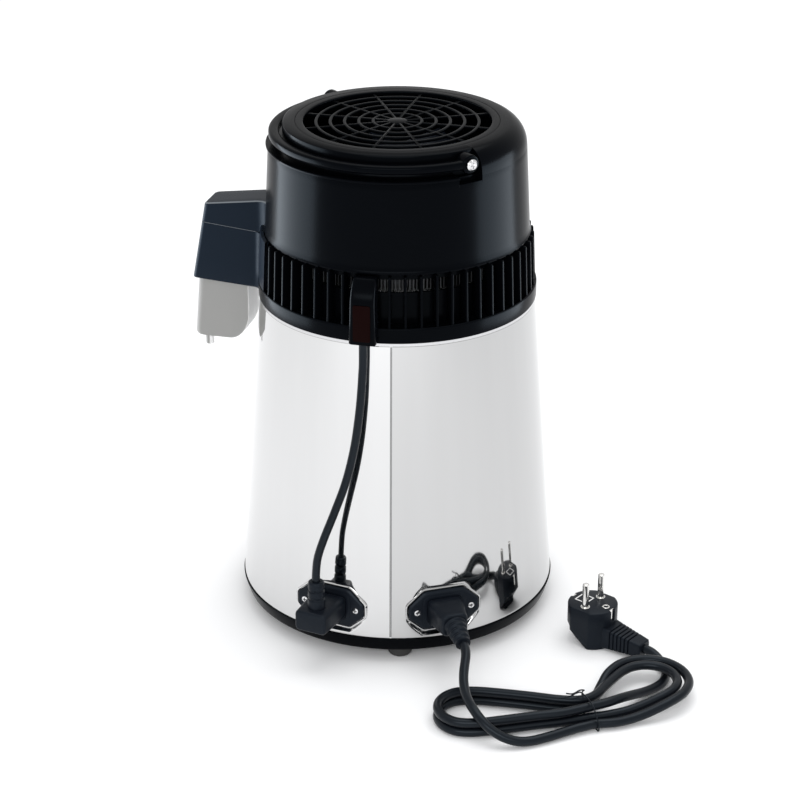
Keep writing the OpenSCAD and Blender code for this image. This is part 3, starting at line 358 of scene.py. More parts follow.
@dataclass
class Shader:
    """Small helper that adds nodes to a node tree and links them."""

    tree: bpy.types.NodeTree

    def add(self, kind: str, **settings: object) -> bpy.types.Node:
        """A new node with its settings, and its input values where the key ends in _in."""
        node = self.tree.nodes.new(kind)
        for key, value in settings.items():
            if key.endswith("_in"):
                node.inputs[key[:-3].replace("_", " ").title()].default_value = value
            else:
                setattr(node, key, value)
        return node

    def wire(self, *links: tuple[bpy.types.Node, str | int, bpy.types.Node, str | int]) -> None:
        """Links outputs to inputs, each given as a node, its output, a node and its input."""
        for source, out, target, into in links:
            self.tree.links.new(source.outputs[out], target.inputs[into])


def grain_group(scale: float) -> bpy.types.NodeTree:
    """Node group of fine noise as a height and a slow blotch as a mask, made once.

    Args:
        scale: default scale of the fine noise, in Object coordinates.

    Returns:
        The group, with the input Scale and the outputs Height and Blotch.
    """
    made = bpy.data.node_groups.get("grain")
    if made is not None:
        return made
    tree = bpy.data.node_groups.new("grain", "ShaderNodeTree")
    for name, way in (("Scale", "INPUT"), ("Height", "OUTPUT"), ("Blotch", "OUTPUT")):
        tree.interface.new_socket(name, in_out=way, socket_type="NodeSocketFloat")
    tree.interface.items_tree["Scale"].default_value = scale
    sh = Shader(tree)
    enter, leave = sh.add("NodeGroupInput"), sh.add("NodeGroupOutput")
    where = sh.add("ShaderNodeTexCoord")
    fine = sh.add("ShaderNodeTexNoise", detail_in=3.0)
    slow = sh.add("ShaderNodeTexNoise", scale_in=14.0, detail_in=2.0)
    sh.wire(
        (where, "Object", fine, "Vector"),
        (where, "Object", slow, "Vector"),
        (enter, "Scale", fine, "Scale"),
        (fine, "Fac", leave, "Height"),
        (slow, "Fac", leave, "Blotch"),
    )
    return tree


@dataclass(frozen=True)
class Finish:
    """Principled shader whose roughness wanders a little and whose surface has a fine grain."""

    name: str
    slot: str
    colour: Triple
    roughness: float
    wander: float = 0.04
    metallic: float = 0.0
    specular: float = 0.5
    tint: Triple = (1.0, 1.0, 1.0)
    grain: float = 0.0
    grain_scale: float = 900.0
    grain_depth: float = 0.0002
    transmission: float = 0.0

    def material(self) -> bpy.types.Material:
        """The finish's material, made at its first use."""
        made = bpy.data.materials.get(self.name)
        if made is None:
            made = bpy.data.materials.new(self.name)
            made.use_nodes = True
            made.node_tree.nodes.clear()
            sh = Shader(made.node_tree)
            self.steer(sh, self.skin(sh))
        return made

    def skin(self, sh: Shader) -> bpy.types.Node:
        """The Principled node, with its values set and its roughness and grain linked."""
        skin = sh.add("ShaderNodeBsdfPrincipled")
        values = {
            "Base Color": (*self.colour, 1.0),
            "Metallic": self.metallic,
            "Specular IOR Level": self.specular,
            "Specular Tint": (*self.tint, 1.0),
            "Transmission Weight": self.transmission,
        }
        for key, value in values.items():
            skin.inputs[key].default_value = value
        group = sh.add("ShaderNodeGroup", node_tree=grain_group(Finish.grain_scale))
        group.inputs["Scale"].default_value = self.grain_scale
        spread = sh.add(
            "ShaderNodeMapRange",
            to_min_in=max(self.roughness - self.wander, 0.0),
            to_max_in=self.roughness + self.wander,
        )
        sh.wire(
            (skin, "BSDF", sh.add("ShaderNodeOutputMaterial"), "Surface"),
            (group, "Blotch", spread, "Value"),
            (spread, "Result", skin, "Roughness"),
        )
        if self.grain > 0:
            bump = sh.add("ShaderNodeBump", strength_in=self.grain, distance_in=self.grain_depth)
            sh.wire((group, "Height", bump, "Height"), (bump, "Normal", skin, "Normal"))
        return skin

    def steer(self, sh: Shader, skin: bpy.types.Node) -> None:
        """Adds what a special finish has beyond this: nothing here."""


@dataclass(frozen=True)
class SheetWithPaintedShade(Finish):
    """Polished sheet whose tone is finely streaked, with painted shade beyond the lap: the tone
    falls there and rises again slowly round the back.
    """

    lap_x: float = -0.0047
    near: float = 0.0004
    far: float = 0.10
    turn_y: float = 0.02
    painted_shade: float = 0.80
    streak: float = 0.05
    stretch: Triple = (90.0, 90.0, 1.5)

    def steer(self, sh: Shader, skin: bpy.types.Node) -> None:
        """Steers the tone by streaks stretched along the height, and by a painted shade that
        darkens the side beyond the lap.

        The step at the lap is as wide as near on the front and as far on the back.

        Args:
            sh: the material's nodes.
            skin: its Principled node.
        """
        where = sh.add("ShaderNodeTexCoord")
        stretch = sh.add("ShaderNodeMapping", scale_in=self.stretch)
        noise = sh.add("ShaderNodeTexNoise", scale_in=1.0, detail_in=3.0)
        streaks = sh.add("ShaderNodeMapRange", to_min_in=1 - self.streak)
        split = sh.add("ShaderNodeSeparateXYZ")
        width = sh.add(
            "ShaderNodeMapRange",
            from_min_in=-self.turn_y, from_max_in=self.turn_y,
            to_min_in=self.near, to_max_in=self.far,
        )
        # Painted shade: beyond the lap the tone falls to a share of itself, a darker reflection
        # painted into the colour.
        step = sh.add("ShaderNodeMapRange", to_min_in=1.0, to_max_in=self.painted_shade)
        both = sh.add("ShaderNodeMath", operation="MULTIPLY")
        tone = sh.add("ShaderNodeMix", data_type="RGBA")
        tone.inputs[6].default_value = (0, 0, 0, 1)
        tone.inputs[7].default_value = (*self.colour, 1)
        sh.wire(
            (where, "Object", stretch, "Vector"),
            (stretch, "Vector", noise, "Vector"),
            (noise, "Fac", streaks, "Value"),
            (where, "Object", split, "Vector"),
            (split, "X", step, "Value"),
            (split, "Y", width, "Value"),
            (streaks, "Result", both, 0),
            (step, "Result", both, 1),
            (both, 0, tone, 0),
            (tone, 2, skin, "Base Color"),
        )
        for operation, end in (("SUBTRACT", "From Min"), ("ADD", "From Max")):
            edge = sh.add("ShaderNodeMath", operation=operation)
            edge.inputs[0].default_value = self.lap_x
            sh.wire((width, "Result", edge, 1), (edge, 0, step, end))


@dataclass(frozen=True)
class Milky(Finish):
    """Translucent plastic, with painted light: whiter on the walls across one direction."""

    across: float = SPOUT_ANGLE
    white: Pair = (0.98, 0.92)
    through: Pair = (0.10, 0.30)
    stops: Triple = (0.30, 0.45, 0.58)

    def steer(self, sh: Shader, skin: bpy.types.Node) -> None:
        """Steers colour and clearness by the side that the wall faces, painting light onto the
        walls across the direction.
        """
        facing = sh.add("ShaderNodeNewGeometry")
        share = sh.add("ShaderNodeVectorMath", operation="DOT_PRODUCT")
        turn = math.radians(self.across)
        share.inputs[1].default_value = (math.cos(turn), math.sin(turn), 0.0)
        half = sh.add("ShaderNodeMapRange", from_min_in=-1.0)
        ramp = sh.add("ShaderNodeValToRGB")
        # Painted light: the walls that face along and against the direction get these whites.
        inner, outer = ((*[w] * 3, clear) for w, clear in zip(self.white, self.through))
        plain = (*self.colour, self.transmission)
        stops = ramp.color_ramp.elements
        stops[0].color, stops[1].color = inner, outer
        for place, tone in zip(self.stops, (inner, plain, plain)):
            stops.new(place).color = tone
        sh.wire(
            (facing, "Normal", share, 0),
            (share, "Value", half, "Value"),
            (half, "Result", ramp, "Fac"),
            (ramp, "Color", skin, "Base Color"),
            (ramp, "Alpha", skin, "Transmission Weight"),
        )


def metal(name: str, slot: str, colour: Triple, *rough: float, grain: float = 0.0) -> Finish:
    """A plain metal finish, from its roughness and how far that wanders."""
    return Finish(name, slot, colour, *rough, metallic=1.0, grain=grain)


class Finishes:
    """The object's finishes, by what they're made of."""

    COOL = (0.76, 0.89, 1.0)
    # The steel's tone carries painted shade beyond the lap.
    STEEL = SheetWithPaintedShade("mirror steel", "steel_mirror", (0.68, 0.68, 0.68), 0.04, 0.02, metallic=1.0)
    # Painted shadow: the lap's strip is dark grey to stand for the shade in the seam.
    LAP_SHADOW = metal("lap with painted shadow", "steel_satin", (0.28, 0.28, 0.28), 0.22, 0.04)
    SATIN = metal("satin steel", "steel_satin", (0.62, 0.62, 0.63), 0.24, 0.05)
    ALU = metal("aluminium", "aluminium", (0.66, 0.67, 0.68), 0.32, 0.06, grain=0.1)
    # Painted shade: aluminium fins darkened to near black because they sit in shade inside the
    # head.
    FIN_IN_SHADE = metal("fin stock in painted shade", "aluminium", (0.042, 0.044, 0.046), 0.42, 0.06)
    SCREW = metal("screw steel", "screw_steel", (0.72, 0.72, 0.73), 0.18, 0.05)
    NICKEL = metal("nickel", "nickel", (0.70, 0.69, 0.66), 0.16, 0.04)
    SHEATH = metal("element sheath", "element_sheath", (0.30, 0.28, 0.26), 0.42, 0.08)
    GLOSS = Finish(
        "gloss black plastic", "black_gloss", (0.0010, 0.0012, 0.0018), 0.22, 0.03,
        specular=0.03, tint=COOL,
    )
    HOOD = Finish(
        "moulded black plastic", "black_gloss", (0.0060, 0.0090, 0.0140), 0.28, 0.03,
        specular=0.05, tint=COOL,
    )
    # Painted highlight: a light colour for thin strips along the spout's rim and joint.
    EDGE_HIGHLIGHT = Finish("painted edge highlight", "black_gloss", (0.150, 0.165, 0.180), 0.40, 0.04, specular=0.10)
    DULL = Finish(
        "satin black plastic", "black_satin", (0.0058, 0.0076, 0.0115), 0.34, 0.05,
        specular=0.14, tint=COOL, grain=0.1,
    )
    RUBBER = Finish(
        "rubber", "rubber", (0.004, 0.004, 0.005), 0.62, 0.06, specular=0.06, grain=0.2
    )
    PVC = Finish(
        "cord sheath", "cord_pvc", (0.0036, 0.0046, 0.0068), 0.29, 0.05,
        specular=0.22, tint=COOL, grain=0.15,
    )
    MILKY = Milky(
        "milky plastic", "milky_plastic", (0.44, 0.44, 0.43), 0.38, 0.04,
        grain=0.05, transmission=0.45,
    )
    CERAMIC = Finish("ceramic", "ceramic", (0.80, 0.78, 0.72), 0.40, 0.05)
    SILICONE = Finish("silicone", "silicone", (0.62, 0.62, 0.60), 0.48, 0.05)
    CLOTH = Finish(
        "sachet cloth", "cloth", (0.78, 0.76, 0.71), 0.85, 0.05, grain=0.6, grain_scale=2200.0
    )
    RED = Finish("red panel", "red_panel", (0.006, 0.0014, 0.0013), 0.36, 0.04, specular=0.02)
    WHITE = Finish("white inlay", "milky_plastic", (0.80, 0.80, 0.80), 0.45, 0.04)
    MOTOR = Finish("motor black", "motor_black", (0.020, 0.020, 0.022), 0.46, 0.05, grain=0.1)


def make_piece(
    name: str,
    patches: Sequence[Patch],
    finish: Finish,
    body: Body | None,
    replaces: Sequence[str] = (),
    sharp: float = 38.0,
) -> bpy.types.Object:
    """body: the body it rides on, or None to leave it on no body.
        replaces: CAD nodes that it stands for.
        sharp: edges that turn more than this, in degrees, stay sharp.

    Returns:
        The new object.
    """
    counts = np.cumsum([0] + [p.points.shape[0] * p.points.shape[1] for p in patches])
    points = np.concatenate([p.points.reshape(-1, 3) for p in patches]) * MM
    faces = [face for p, start in zip(patches, counts) for face in p.faces(int(start))]
    mesh = bpy.data.meshes.new(name)
    mesh.from_pydata(points, [], faces)
    work = bmesh.new()
    work.from_mesh(mesh)
    bmesh.ops.remove_doubles(work, verts=work.verts, dist=1e-6)
    bmesh.ops.dissolve_degenerate(work, edges=work.edges, dist=1e-7)
    bmesh.ops.recalc_face_normals(work, faces=work.faces)
    work.to_mesh(mesh)
    work.free()
    mesh.polygons.foreach_set("use_smooth", np.ones(len(mesh.polygons), dtype=bool))
    mesh.set_sharp_from_angle(angle=math.radians(sharp))
    mesh.materials.append(finish.material())
    obj = bpy.data.objects.new(name, mesh)
    bpy.context.scene.collection.objects.link(obj)
    if body is not None:
        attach(obj, body.value)
    if replaces:
        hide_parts(*replaces)
    LOG.info("%s: %d faces", name, len(mesh.polygons))
    return obj


# Base


@dataclass
class Socket:
    """Appliance socket: an eight-sided plate with a raised collar round its recess."""

    angle: float
    node: str
    half: Pair = (26.0, 15.0)
    ear: float = 4.6
    flat: float = 14.5
    plate_t: float = 3.0
    recess: Triple = (25.0, 18.0, 16.0)
    collar: Pair = (3.0, 2.6)
    screw_x: float = 20.0
    lift: float = 0.05
    rays: int = 240

    def depth_inside(self, y: Array, z: Array) -> Array:
        """Least distance to the plate's sides, from a point's absolute width and height."""
        w, h = self.half
        across, up = w - self.flat, h - self.ear
        slant = ((w - y) * up + (self.ear - z) * across) / math.hypot(across, up)
        return np.minimum(np.minimum(w - y, h - z), slant)

    def plate(self) -> Array:
        """Outline of the plate: a rectangle whose corners are cut and slightly rounded."""
        w, h = self.half
        corners = [(-w, -self.ear), (-self.flat, -h), (self.flat, -h), (w, -self.ear)]
        corners += [(-x, -y) for x, y in corners]
        return by_angle(rounded(corners, 1.6, 6), self.rays)

    def bead(self) -> Patch:
        """A bead pressed up in the sheet: a low ring between two outlines round the plate."""
        plate = self.plate()
        outer, inner = inset(plate, -1.8), inset(plate, -0.3)
        rings = [outer, outer, inset(outer, 0.5), inset(inner, -0.4), inner, inner]
        heights = [-0.6, 0.6, 1.2, 1.2, 0.7, -0.6]
        return Place.outward(self.angle, SEAT_R, SEAT_Z).carry(loft(rings, heights, closed=True))

    def build(self) -> None:
        """Plate, collar and recess as one stack of outlines, from its back to its floor."""
        plate = self.plate()
        rw, rh, depth = self.recess[0] / 2, self.recess[1] / 2, self.recess[2]
        collar = centred_box(rw + self.collar[0], rh + self.collar[1], 5.0, 8)
        collar = by_angle(collar, self.rays)
        mouth = by_angle(centred_box(rw, rh, 2.0, 8), self.rays)
        t = self.plate_t
        stack = (
            (plate, 0.0), (plate, t - 1.3), (inset(plate, 1.1), t - 0.2),
            (inset(plate, 1.4), t - 0.1), (collar, t), (collar, t + 0.1),
            (inset(collar, 0.3), t + 0.2), (inset(collar, 0.9), t + 0.25), (mouth, t + 0.25),
            (inset(mouth, 0.2), t - 0.2), (mouth, t - depth),
        )
        place = Place.outward(self.angle, SEAT_R + self.lift, SEAT_Z)
        patch = place.carry(loft(*zip(*stack)))
        name, nodes = f"{self.node}_look", [self.node]
        make_piece(name, [patch], Finishes.DULL, Body.BASE, nodes, sharp=32.0)

    def screws(self) -> tuple[list[Patch], list[Patch]]:
        """Turned heads of the two screws, nearly flush with the plate, and dark crosses on them as
        painted shade of their recesses.
        """
        head = np.array([
            [0, -2.0], [2.0, -2.0], [2.3, 0.0], [2.2, 0.25], [1.6, 0.5], [0.8, 0.6], [0, 0.62]
        ])
        bar = centred_box(1.35, 0.34, 0.1, 1)
        plate = Place.outward(self.angle, SEAT_R + self.plate_t, SEAT_Z)
        heads, recess_shades = [], []
        for x in (-self.screw_x, self.screw_x):
            place = Place(plate.put(np.array([x, 0.0, 0.0])), plate.axes)
            heads.append(place.carry(revolve(head, turns(32), closed=False)))
            for outline in (bar, bar[:, ::-1] * np.array([1.0, -1.0])):
                recess_shades.append(place.carry(prism(outline, outline, 0.2, 0.68, 0.02, 1)))
        return heads, recess_shades


@dataclass
class Boiler:
    """Steel body on its black base cover, with two sockets on flats pressed into the sheet."""

    sockets: Sequence[Socket]
    foot_r: float = 115.0
    top_r: float = 98.5
    z_foot: float = 19.0
    z_top: float = 238.0
    wall: float = 1.0
    flange: float = 14.0
    turned: float = 1.2
    seam: float = -92.5
    seam_cuts: tuple[float, ...] = (-0.42, -0.36, -0.1, 0.1, 0.36, 0.42)
    groove: float = 0.3
    groove_half: float = 0.15
    groove_r: float = 105.0
    seat_rim: float = 2.0
    seat_ease: float = 3.0
    seat_turn: float = 17.0
    foot_at: Pair = (-89.0, 101.0)

    def radius(self, z: Array) -> Array:
        """Radius of the cone at a height: it falls evenly from the foot to the top."""
        fall = self.top_r - self.foot_r
        return self.foot_r + fall * (z - self.z_foot) / (self.z_top - self.z_foot)

    def press(self, points: Array, back: float) -> Array:
        """Points pushed in to the flats of the sockets.

        In the frame of a seat, a point further out than the flat is drawn in to it where it lies
        behind the plate or its rim, by a share that falls smoothly from one to nought.

        Args:
            points: points of the sheet.
            back: depth of the flat behind the seat.

        Returns:
            The points, pressed in at every socket.
        """
        for socket in self.sockets:
            place = Place.radial(socket.angle, 0.0, SEAT_Z)
            local = (points - place.origin) @ place.axes.T
            y, z = np.abs(local[..., 1]), np.abs(local[..., 2])
            rim = socket.depth_inside(y, z) + self.seat_rim
            share = np.clip(rim / self.seat_ease + 0.5, 0, 1)
            share = share * share * (3 - 2 * share)
            local[..., 0] -= np.maximum(local[..., 0] - (SEAT_R - back), 0) * share
            points = place.put(local)
        return points

    def shell(self) -> None:
        """The sheet: a cone turned in at its foot, with a fine groove up its front and seats."""
        span = np.arange(-self.seat_turn, self.seat_turn + 0.1, 0.5)
        near = [socket.angle + d for socket in self.sockets for d in span]
        angles = turns(240, [*near, *(self.seam + np.array(self.seam_cuts))])
        # Close rows as high as the seats reach, and wider ones above.
        low = np.linspace(self.z_foot + self.turned, 60, 56)
        rise = np.concatenate([low, np.linspace(64, self.z_top - 0.6, 44)])
        out = np.stack([self.radius(rise), rise], axis=-1)
        rim = [[self.top_r - d, self.z_top - 0.1] for d in (0.25, 0.75)]
        inner = np.stack([self.radius(rise) - self.wall, rise], axis=-1)[::-1]
        turned = [
            [self.foot_r - self.flange, self.z_foot + self.turned],
            [self.foot_r - self.flange, self.z_foot],
            [self.foot_r - 1.0, self.z_foot],
            [self.foot_r - 0.3, self.z_foot + 0.3],
        ]
        patch = revolve(np.concatenate([out, rim, inner, turned]), angles)
        outside = slice(0, len(out))
        inside = slice(len(out) + len(rim), len(out) + len(rim) + len(inner))
        off = (angles - math.radians(self.seam) + np.pi) % (2 * np.pi) - np.pi
        depth = self.groove * (np.abs(off) < math.radians(self.groove_half))
        patch.points[outside, :, :2] *= 1 - (depth / self.groove_r)[None, :, None]
        for rows, back in ((outside, 0.0), (inside, self.wall)):
            patch.points[rows] = self.press(patch.points[rows], back)
        parts = [patch, *(socket.bead() for socket in self.sockets)]
        nodes = ["outer_body"]
        make_piece("steel_body_look", parts, Finishes.STEEL, Body.BASE, nodes, sharp=24.0)

    def lap(self) -> None:
        """The sheet's lap, a strip up the front that stands a little proud of the cone, dark grey
        as painted shadow of the seam.
        """
        z = np.linspace(self.z_foot + 1.6, self.z_top - 1.0, 60)[:, None]
        half = 0.5 / self.foot_r
        at = math.radians(self.seam) + half * np.array([-1.0, -1.0, 1.0, 1.0])
        r = self.radius(z) + np.array([-0.4, 0.1, 0.1, -0.4])
        strip = Patch(around(r, z, at), cap_first=True, cap_last=True)
        make_piece("body_lap_shadow", [strip], Finishes.LAP_SHADOW, Body.BASE)

    def cover_band(self) -> None:
        """The base cover's visible side, a turned ring with rounded rims over the CAD wall."""
        corners = [(109.8, 9.1), (112.6, 8.9), (115.7, 18.95), (112.4, 18.95)]
        ring = revolve(rounded(corners, [0.3, 2.4, 1.0, 0.3]), turns(240))
        make_piece("base_cover_rim", [ring], Finishes.GLOSS, Body.BASE)

    def feet(self) -> None:
        """Four turned rubber feet with rounded soles."""
        dome = np.array([
            [0, 9.0], [9.0, 9.0], [9.0, 4.2], [8.6, 2.4], [7.8, 1.2], [6.6, 0.4], [5.2, 0.0],
            [0, 0.0],
        ])
        foot = revolve(dome, turns(48), closed=False)
        first, r = self.foot_at
        feet = [Place.radial(first + 90 * k, r).carry(foot) for k in range(4)]
        make_piece("feet_look", feet, Finishes.RUBBER, Body.BASE, ["feet"])

    def build(self) -> None:
        """Makes the body, its lap, the cover's side and the feet."""
        self.shell()
        self.lap()
        self.cover_band()
        self.feet()


# Head


@dataclass
class VentBand:
    """Smooth skirt, upright fins, the ring behind them and a low screen, open at the spout."""

    count: int = 56
    thick: float = 1.8
    screen_lap: float = 3.0
    skips: tuple[Pair, ...] = ((SPOUT_ANGLE, 10.5), (OUTLET_ANGLE, 7.4))

    def fins(self) -> list[Patch]:
        """Fins as profiles (r, z) carried across their thickness, with gaps at the skips."""
        corners = [(88.4, 250.2), (98.2, 250.2), (97.9, 253.0), (96.5, 286.9), (88.4, 286.9)]
        fin = rounded(corners, [0.2, 0.4, 1.5, 1.2, 0.2], 3)
        solid = prism(fin, fin, -self.thick / 2, self.thick / 2, 0.5, 2)
        fins = []
        for i in range(self.count):
            angle = 360 * (i + 0.5) / self.count
            if all(abs((angle - a + 540) % 360 - 180) >= gap for a, gap in self.skips):
                flat = Place.radial(angle)
                out, side, up = flat.axes
                fins.append(Place(flat.origin, np.array([out, up, -side])).carry(solid))
        return fins

    def build(self) -> None:
        """Skirt, ring, floor and screen turned about the axis, and the fins."""
        skirt = rounded(
            [(96.3, 234.5), (97.6, 234.5), (98.0, 239.4), (99.1, 240.2), (99.1, 250.9),
             (96.3, 250.9)],
            [0.4, 0.4, 0.3, 0.9, 1.6, 0.4],
        )
        ring = rounded(
            [(87.2, 283.0), (90.2, 283.0), (90.2, 295.0), (79.2, 295.0), (79.2, 292.0),
             (87.2, 292.0)],
            0.3, 2,
        )
        floor = box_outline(87.2, 98.0, 249.4, 250.9, 0.2, 1)
        wall = box_outline(87.2, 88.8, 249.5, 273.3, 0.3, 1)
        middle, half = self.skips[0]
        off = half - self.screen_lap
        screen = sweep(wall, middle + off, middle + 360 - off, 200)
        turned = [revolve(p, turns(240)) for p in (skirt, ring, floor)]
        patches = [*turned, screen, *self.fins()]
        make_piece("vent_band_look", patches, Finishes.GLOSS, Body.HEAD, ["vent_band"])


@dataclass
class CoolingFins:
    """Ring of thin cooling fins round the condenser tube, seen between the vent fins, near black as
    painted shade inside the head.
    """

    count: int = 230
    root: float = 80.0
    hub: float = 2.0
    tip: float = 87.0
    z: Pair = (274.0, 292.0)
    shares: tuple[float, ...] = (-0.30, -0.16, 0.16, 0.30)

    def build(self) -> None:
        """A ring whose outer outline goes out and back at each fin, with a circle inside."""
        pitch = 2 * np.pi / self.count
        way = polar(1.0, (pitch * (np.arange(self.count)[:, None] + self.shares)).ravel())
        valley = self.root + self.hub
        reach = np.tile([valley, self.tip, self.tip, valley], self.count)
        outer, inner = way * reach[:, None], way * self.root
        low, high = self.z
        ring = loft([inner, outer, outer, inner], [low, low, high, high], closed=True)
        nodes = ["condenser_fins"]
        make_piece("condenser_fins_look", [ring], Finishes.FIN_IN_SHADE, Body.HEAD, nodes)


@dataclass
class Drum:
    """Black drum under the top cover, with two notches in its upper rim for the handle's eyes."""

    foot_r: float = 93.6
    top_r: float = 90.2
    z_foot: float = 287.0
    z_top: float = 350.0
    wall: float = 2.5
    foot: Sequence[Pair] = (
        (-2.4, 287.3), (-0.4, 287.2), (0.45, 287.7), (0.6, 288.6), (0.1, 289.5),
    )

    def build(self) -> None:
        """A turned wall whose upper points drop to the notch's floor between two angles."""
        half = math.degrees(math.asin(NOTCH_HALF / self.top_r))
        angles = turns(288, notch_edges(PIVOT_ANGLE, half, 0.05))
        rise = np.linspace(self.z_foot + 3.2, self.z_top - 4.5, 16)
        narrow = self.top_r - self.foot_r
        radius = self.foot_r + narrow * (rise - self.z_foot) / (self.z_top - self.z_foot)
        out = np.stack([radius, rise], axis=-1)
        foot = [[self.foot_r + d, z] for d, z in self.foot]
        top = [
            [self.top_r + 0.02, self.z_top - 0.05],
            [self.top_r, self.z_top],
            [self.top_r - self.wall, self.z_top],
        ]
        inner = np.stack([radius - self.wall, rise], axis=-1)[::-1]
        patch = revolve(np.concatenate([foot, out, top, inner]), angles)
        off = (np.degrees(angles) - PIVOT_ANGLE + 90) % 180 - 90
        first = len(foot) + len(out)
        z = patch.points[first : first + len(top), :, 2]
        z[:] = np.where(np.abs(off) < half, np.minimum(z, NOTCH_Z), z)
        make_piece("head_drum_look", [patch], Finishes.GLOSS, Body.HEAD, ["head_drum"])


@dataclass
class TopCover:
    """Moulded top: a lip and neck on the handle's side, a shoulder opposite, two notches."""

    rim_r: float = 90.0

    def build(self) -> None:
        """A surface turned about the axis, whose profile (r, z) is one of three, by the angle.

        The three have the same count of points: ledge on the handle's half, shoulder on the
        other half, and notch beside each pivot. The profile changes from one to the next within
        a tenth of a degree.
        """
        tail = [
            (71.2, 367.0), (71.2, 364.0), (66.5, 364.0), (66.5, 362.0), (77.0, 362.0),
            (77.0, 350.0), (84.5, 350.0), (84.5, 344.5), (87.4, 344.5),
        ]
        ledge = [
            (87.4, 350.0), (91.2, 350.1), (91.6, 350.5), (91.7, 351.5), (91.3, 352.0),
            (82.0, 352.0), (80.6, 352.5), (80.0, 353.8), (80.0, 359.0), (80.0, 364.9),
            (79.6, 366.2), (78.4, 367.0),
        ]
        shoulder = [
            (87.4, 350.0), (90.2, 350.0), (90.12, 351.0), (89.98, 352.6), (89.7, 354.4),
            (89.1, 356.6), (88.1, 358.9), (86.7, 361.2), (84.9, 363.3), (82.8, 365.0),
            (80.6, 366.2), (78.4, 367.0),
        ]
        notch = [
            (87.4, 346.7), (87.3, 346.72), (86.0, 346.74), (84.0, 346.76), (82.6, 346.8),
            (81.4, 347.0), (80.4, 347.6), (80.0, 348.8), (80.0, 357.0), (80.0, 364.9),
            (79.6, 366.2), (78.4, 367.0),
        ]
        half = math.degrees(math.asin(NOTCH_HALF / self.rim_r))
        angles = turns(288, notch_edges(PIVOT_ANGLE, half, 0.05))
        off = (np.degrees(angles) - PIVOT_ANGLE + 180) % 360 - 180
        near = np.minimum(np.abs(off), 180 - np.abs(off))
        kind = np.where(near < half, 2, np.where(off > 0, 1, 0))
        profiles = np.array([side + tail for side in (ledge, shoulder, notch)])
        chosen = profiles[kind].transpose(1, 0, 2)
        cover = Patch(around(chosen[..., 0], chosen[..., 1], angles), wrap_rows=True)
        make_piece("top_cover_look", [cover], Finishes.GLOSS, Body.HEAD, ["top_cover"])


@dataclass
class Grille:
    """Round fan grille: an outer ring, five ring bars, twelve spokes and a hub."""

    ring: Pair = (65.4, 71.0)
    bars: tuple[float, ...] = (16.9, 26.8, 36.7, 46.6, 56.5)
    bar_w: float = 2.4
    spokes: int = 12
    z: Triple = (364.0, 366.1, 367.0)

    def build(self) -> None:
        """Rings turned about the axis and spokes as rounded prisms between hub and ring."""
        z0, z1, z2 = self.z
        outer = box_outline(*self.ring, z0, z2, [0.3, 0.2, 0.5, 1.0])
        patches = [revolve(outer, turns(192))]
        for r in self.bars:
            bar = box_outline(r - self.bar_w / 2, r + self.bar_w / 2, z0, z1, 0.9)
            patches.append(revolve(bar, turns(144)))
        hub = np.array([
            [0, z0], [7.0, z0], [7.0, z1 - 0.7], [6.6, z1 - 0.1], [5.8, z1 + 0.15],
            [0, z1 + 0.35],
        ])
        patches.append(revolve(hub, turns(64), closed=False))
        bar = box_outline(5.5, 66.5, -1.0, 1.0, 0.2, 1)
        spoke = prism(bar, bar, z0 + 0.1, z1 - 0.05, 0.5, 2)
        for k in range(self.spokes):
            patches.append(Place.radial(360 * (k + 0.5) / self.spokes).carry(spoke))
        make_piece("fan_grille_look", patches, Finishes.GLOSS, Body.HEAD, ["fan_grille"])


@dataclass
class Handle:
    """Half-ring carry handle with an eye at each end."""

    r: Pair = (82.0, 89.6)
    z: float = 359.2
    thick: float = 6.0
    eye_r: Pair = (2.56, 6.5)
    eye_z: Pair = (-1.2, 7.6)

    def build(self) -> None:
        """A rounded section turned through half a circle, and an eye on the pivot at each end."""
        section = box_outline(*self.r, self.z - self.thick / 2, self.z + self.thick / 2, 2.6, 6)
        patches = [sweep(section, PIVOT_ANGLE + 180, PIVOT_ANGLE + 360, 121)]
        eye = box_outline(*self.eye_r, *self.eye_z, [0.2, 1.0, 1.2, 0.4])
        for turn in (0, 180):
            place = Place.outward(PIVOT_ANGLE + turn, self.r[0], self.z)
            patches.append(place.carry(revolve(eye, turns(56))))
        make_piece("carry_handle_look", patches, Finishes.GLOSS, Body.HANDLE, ["handle"])


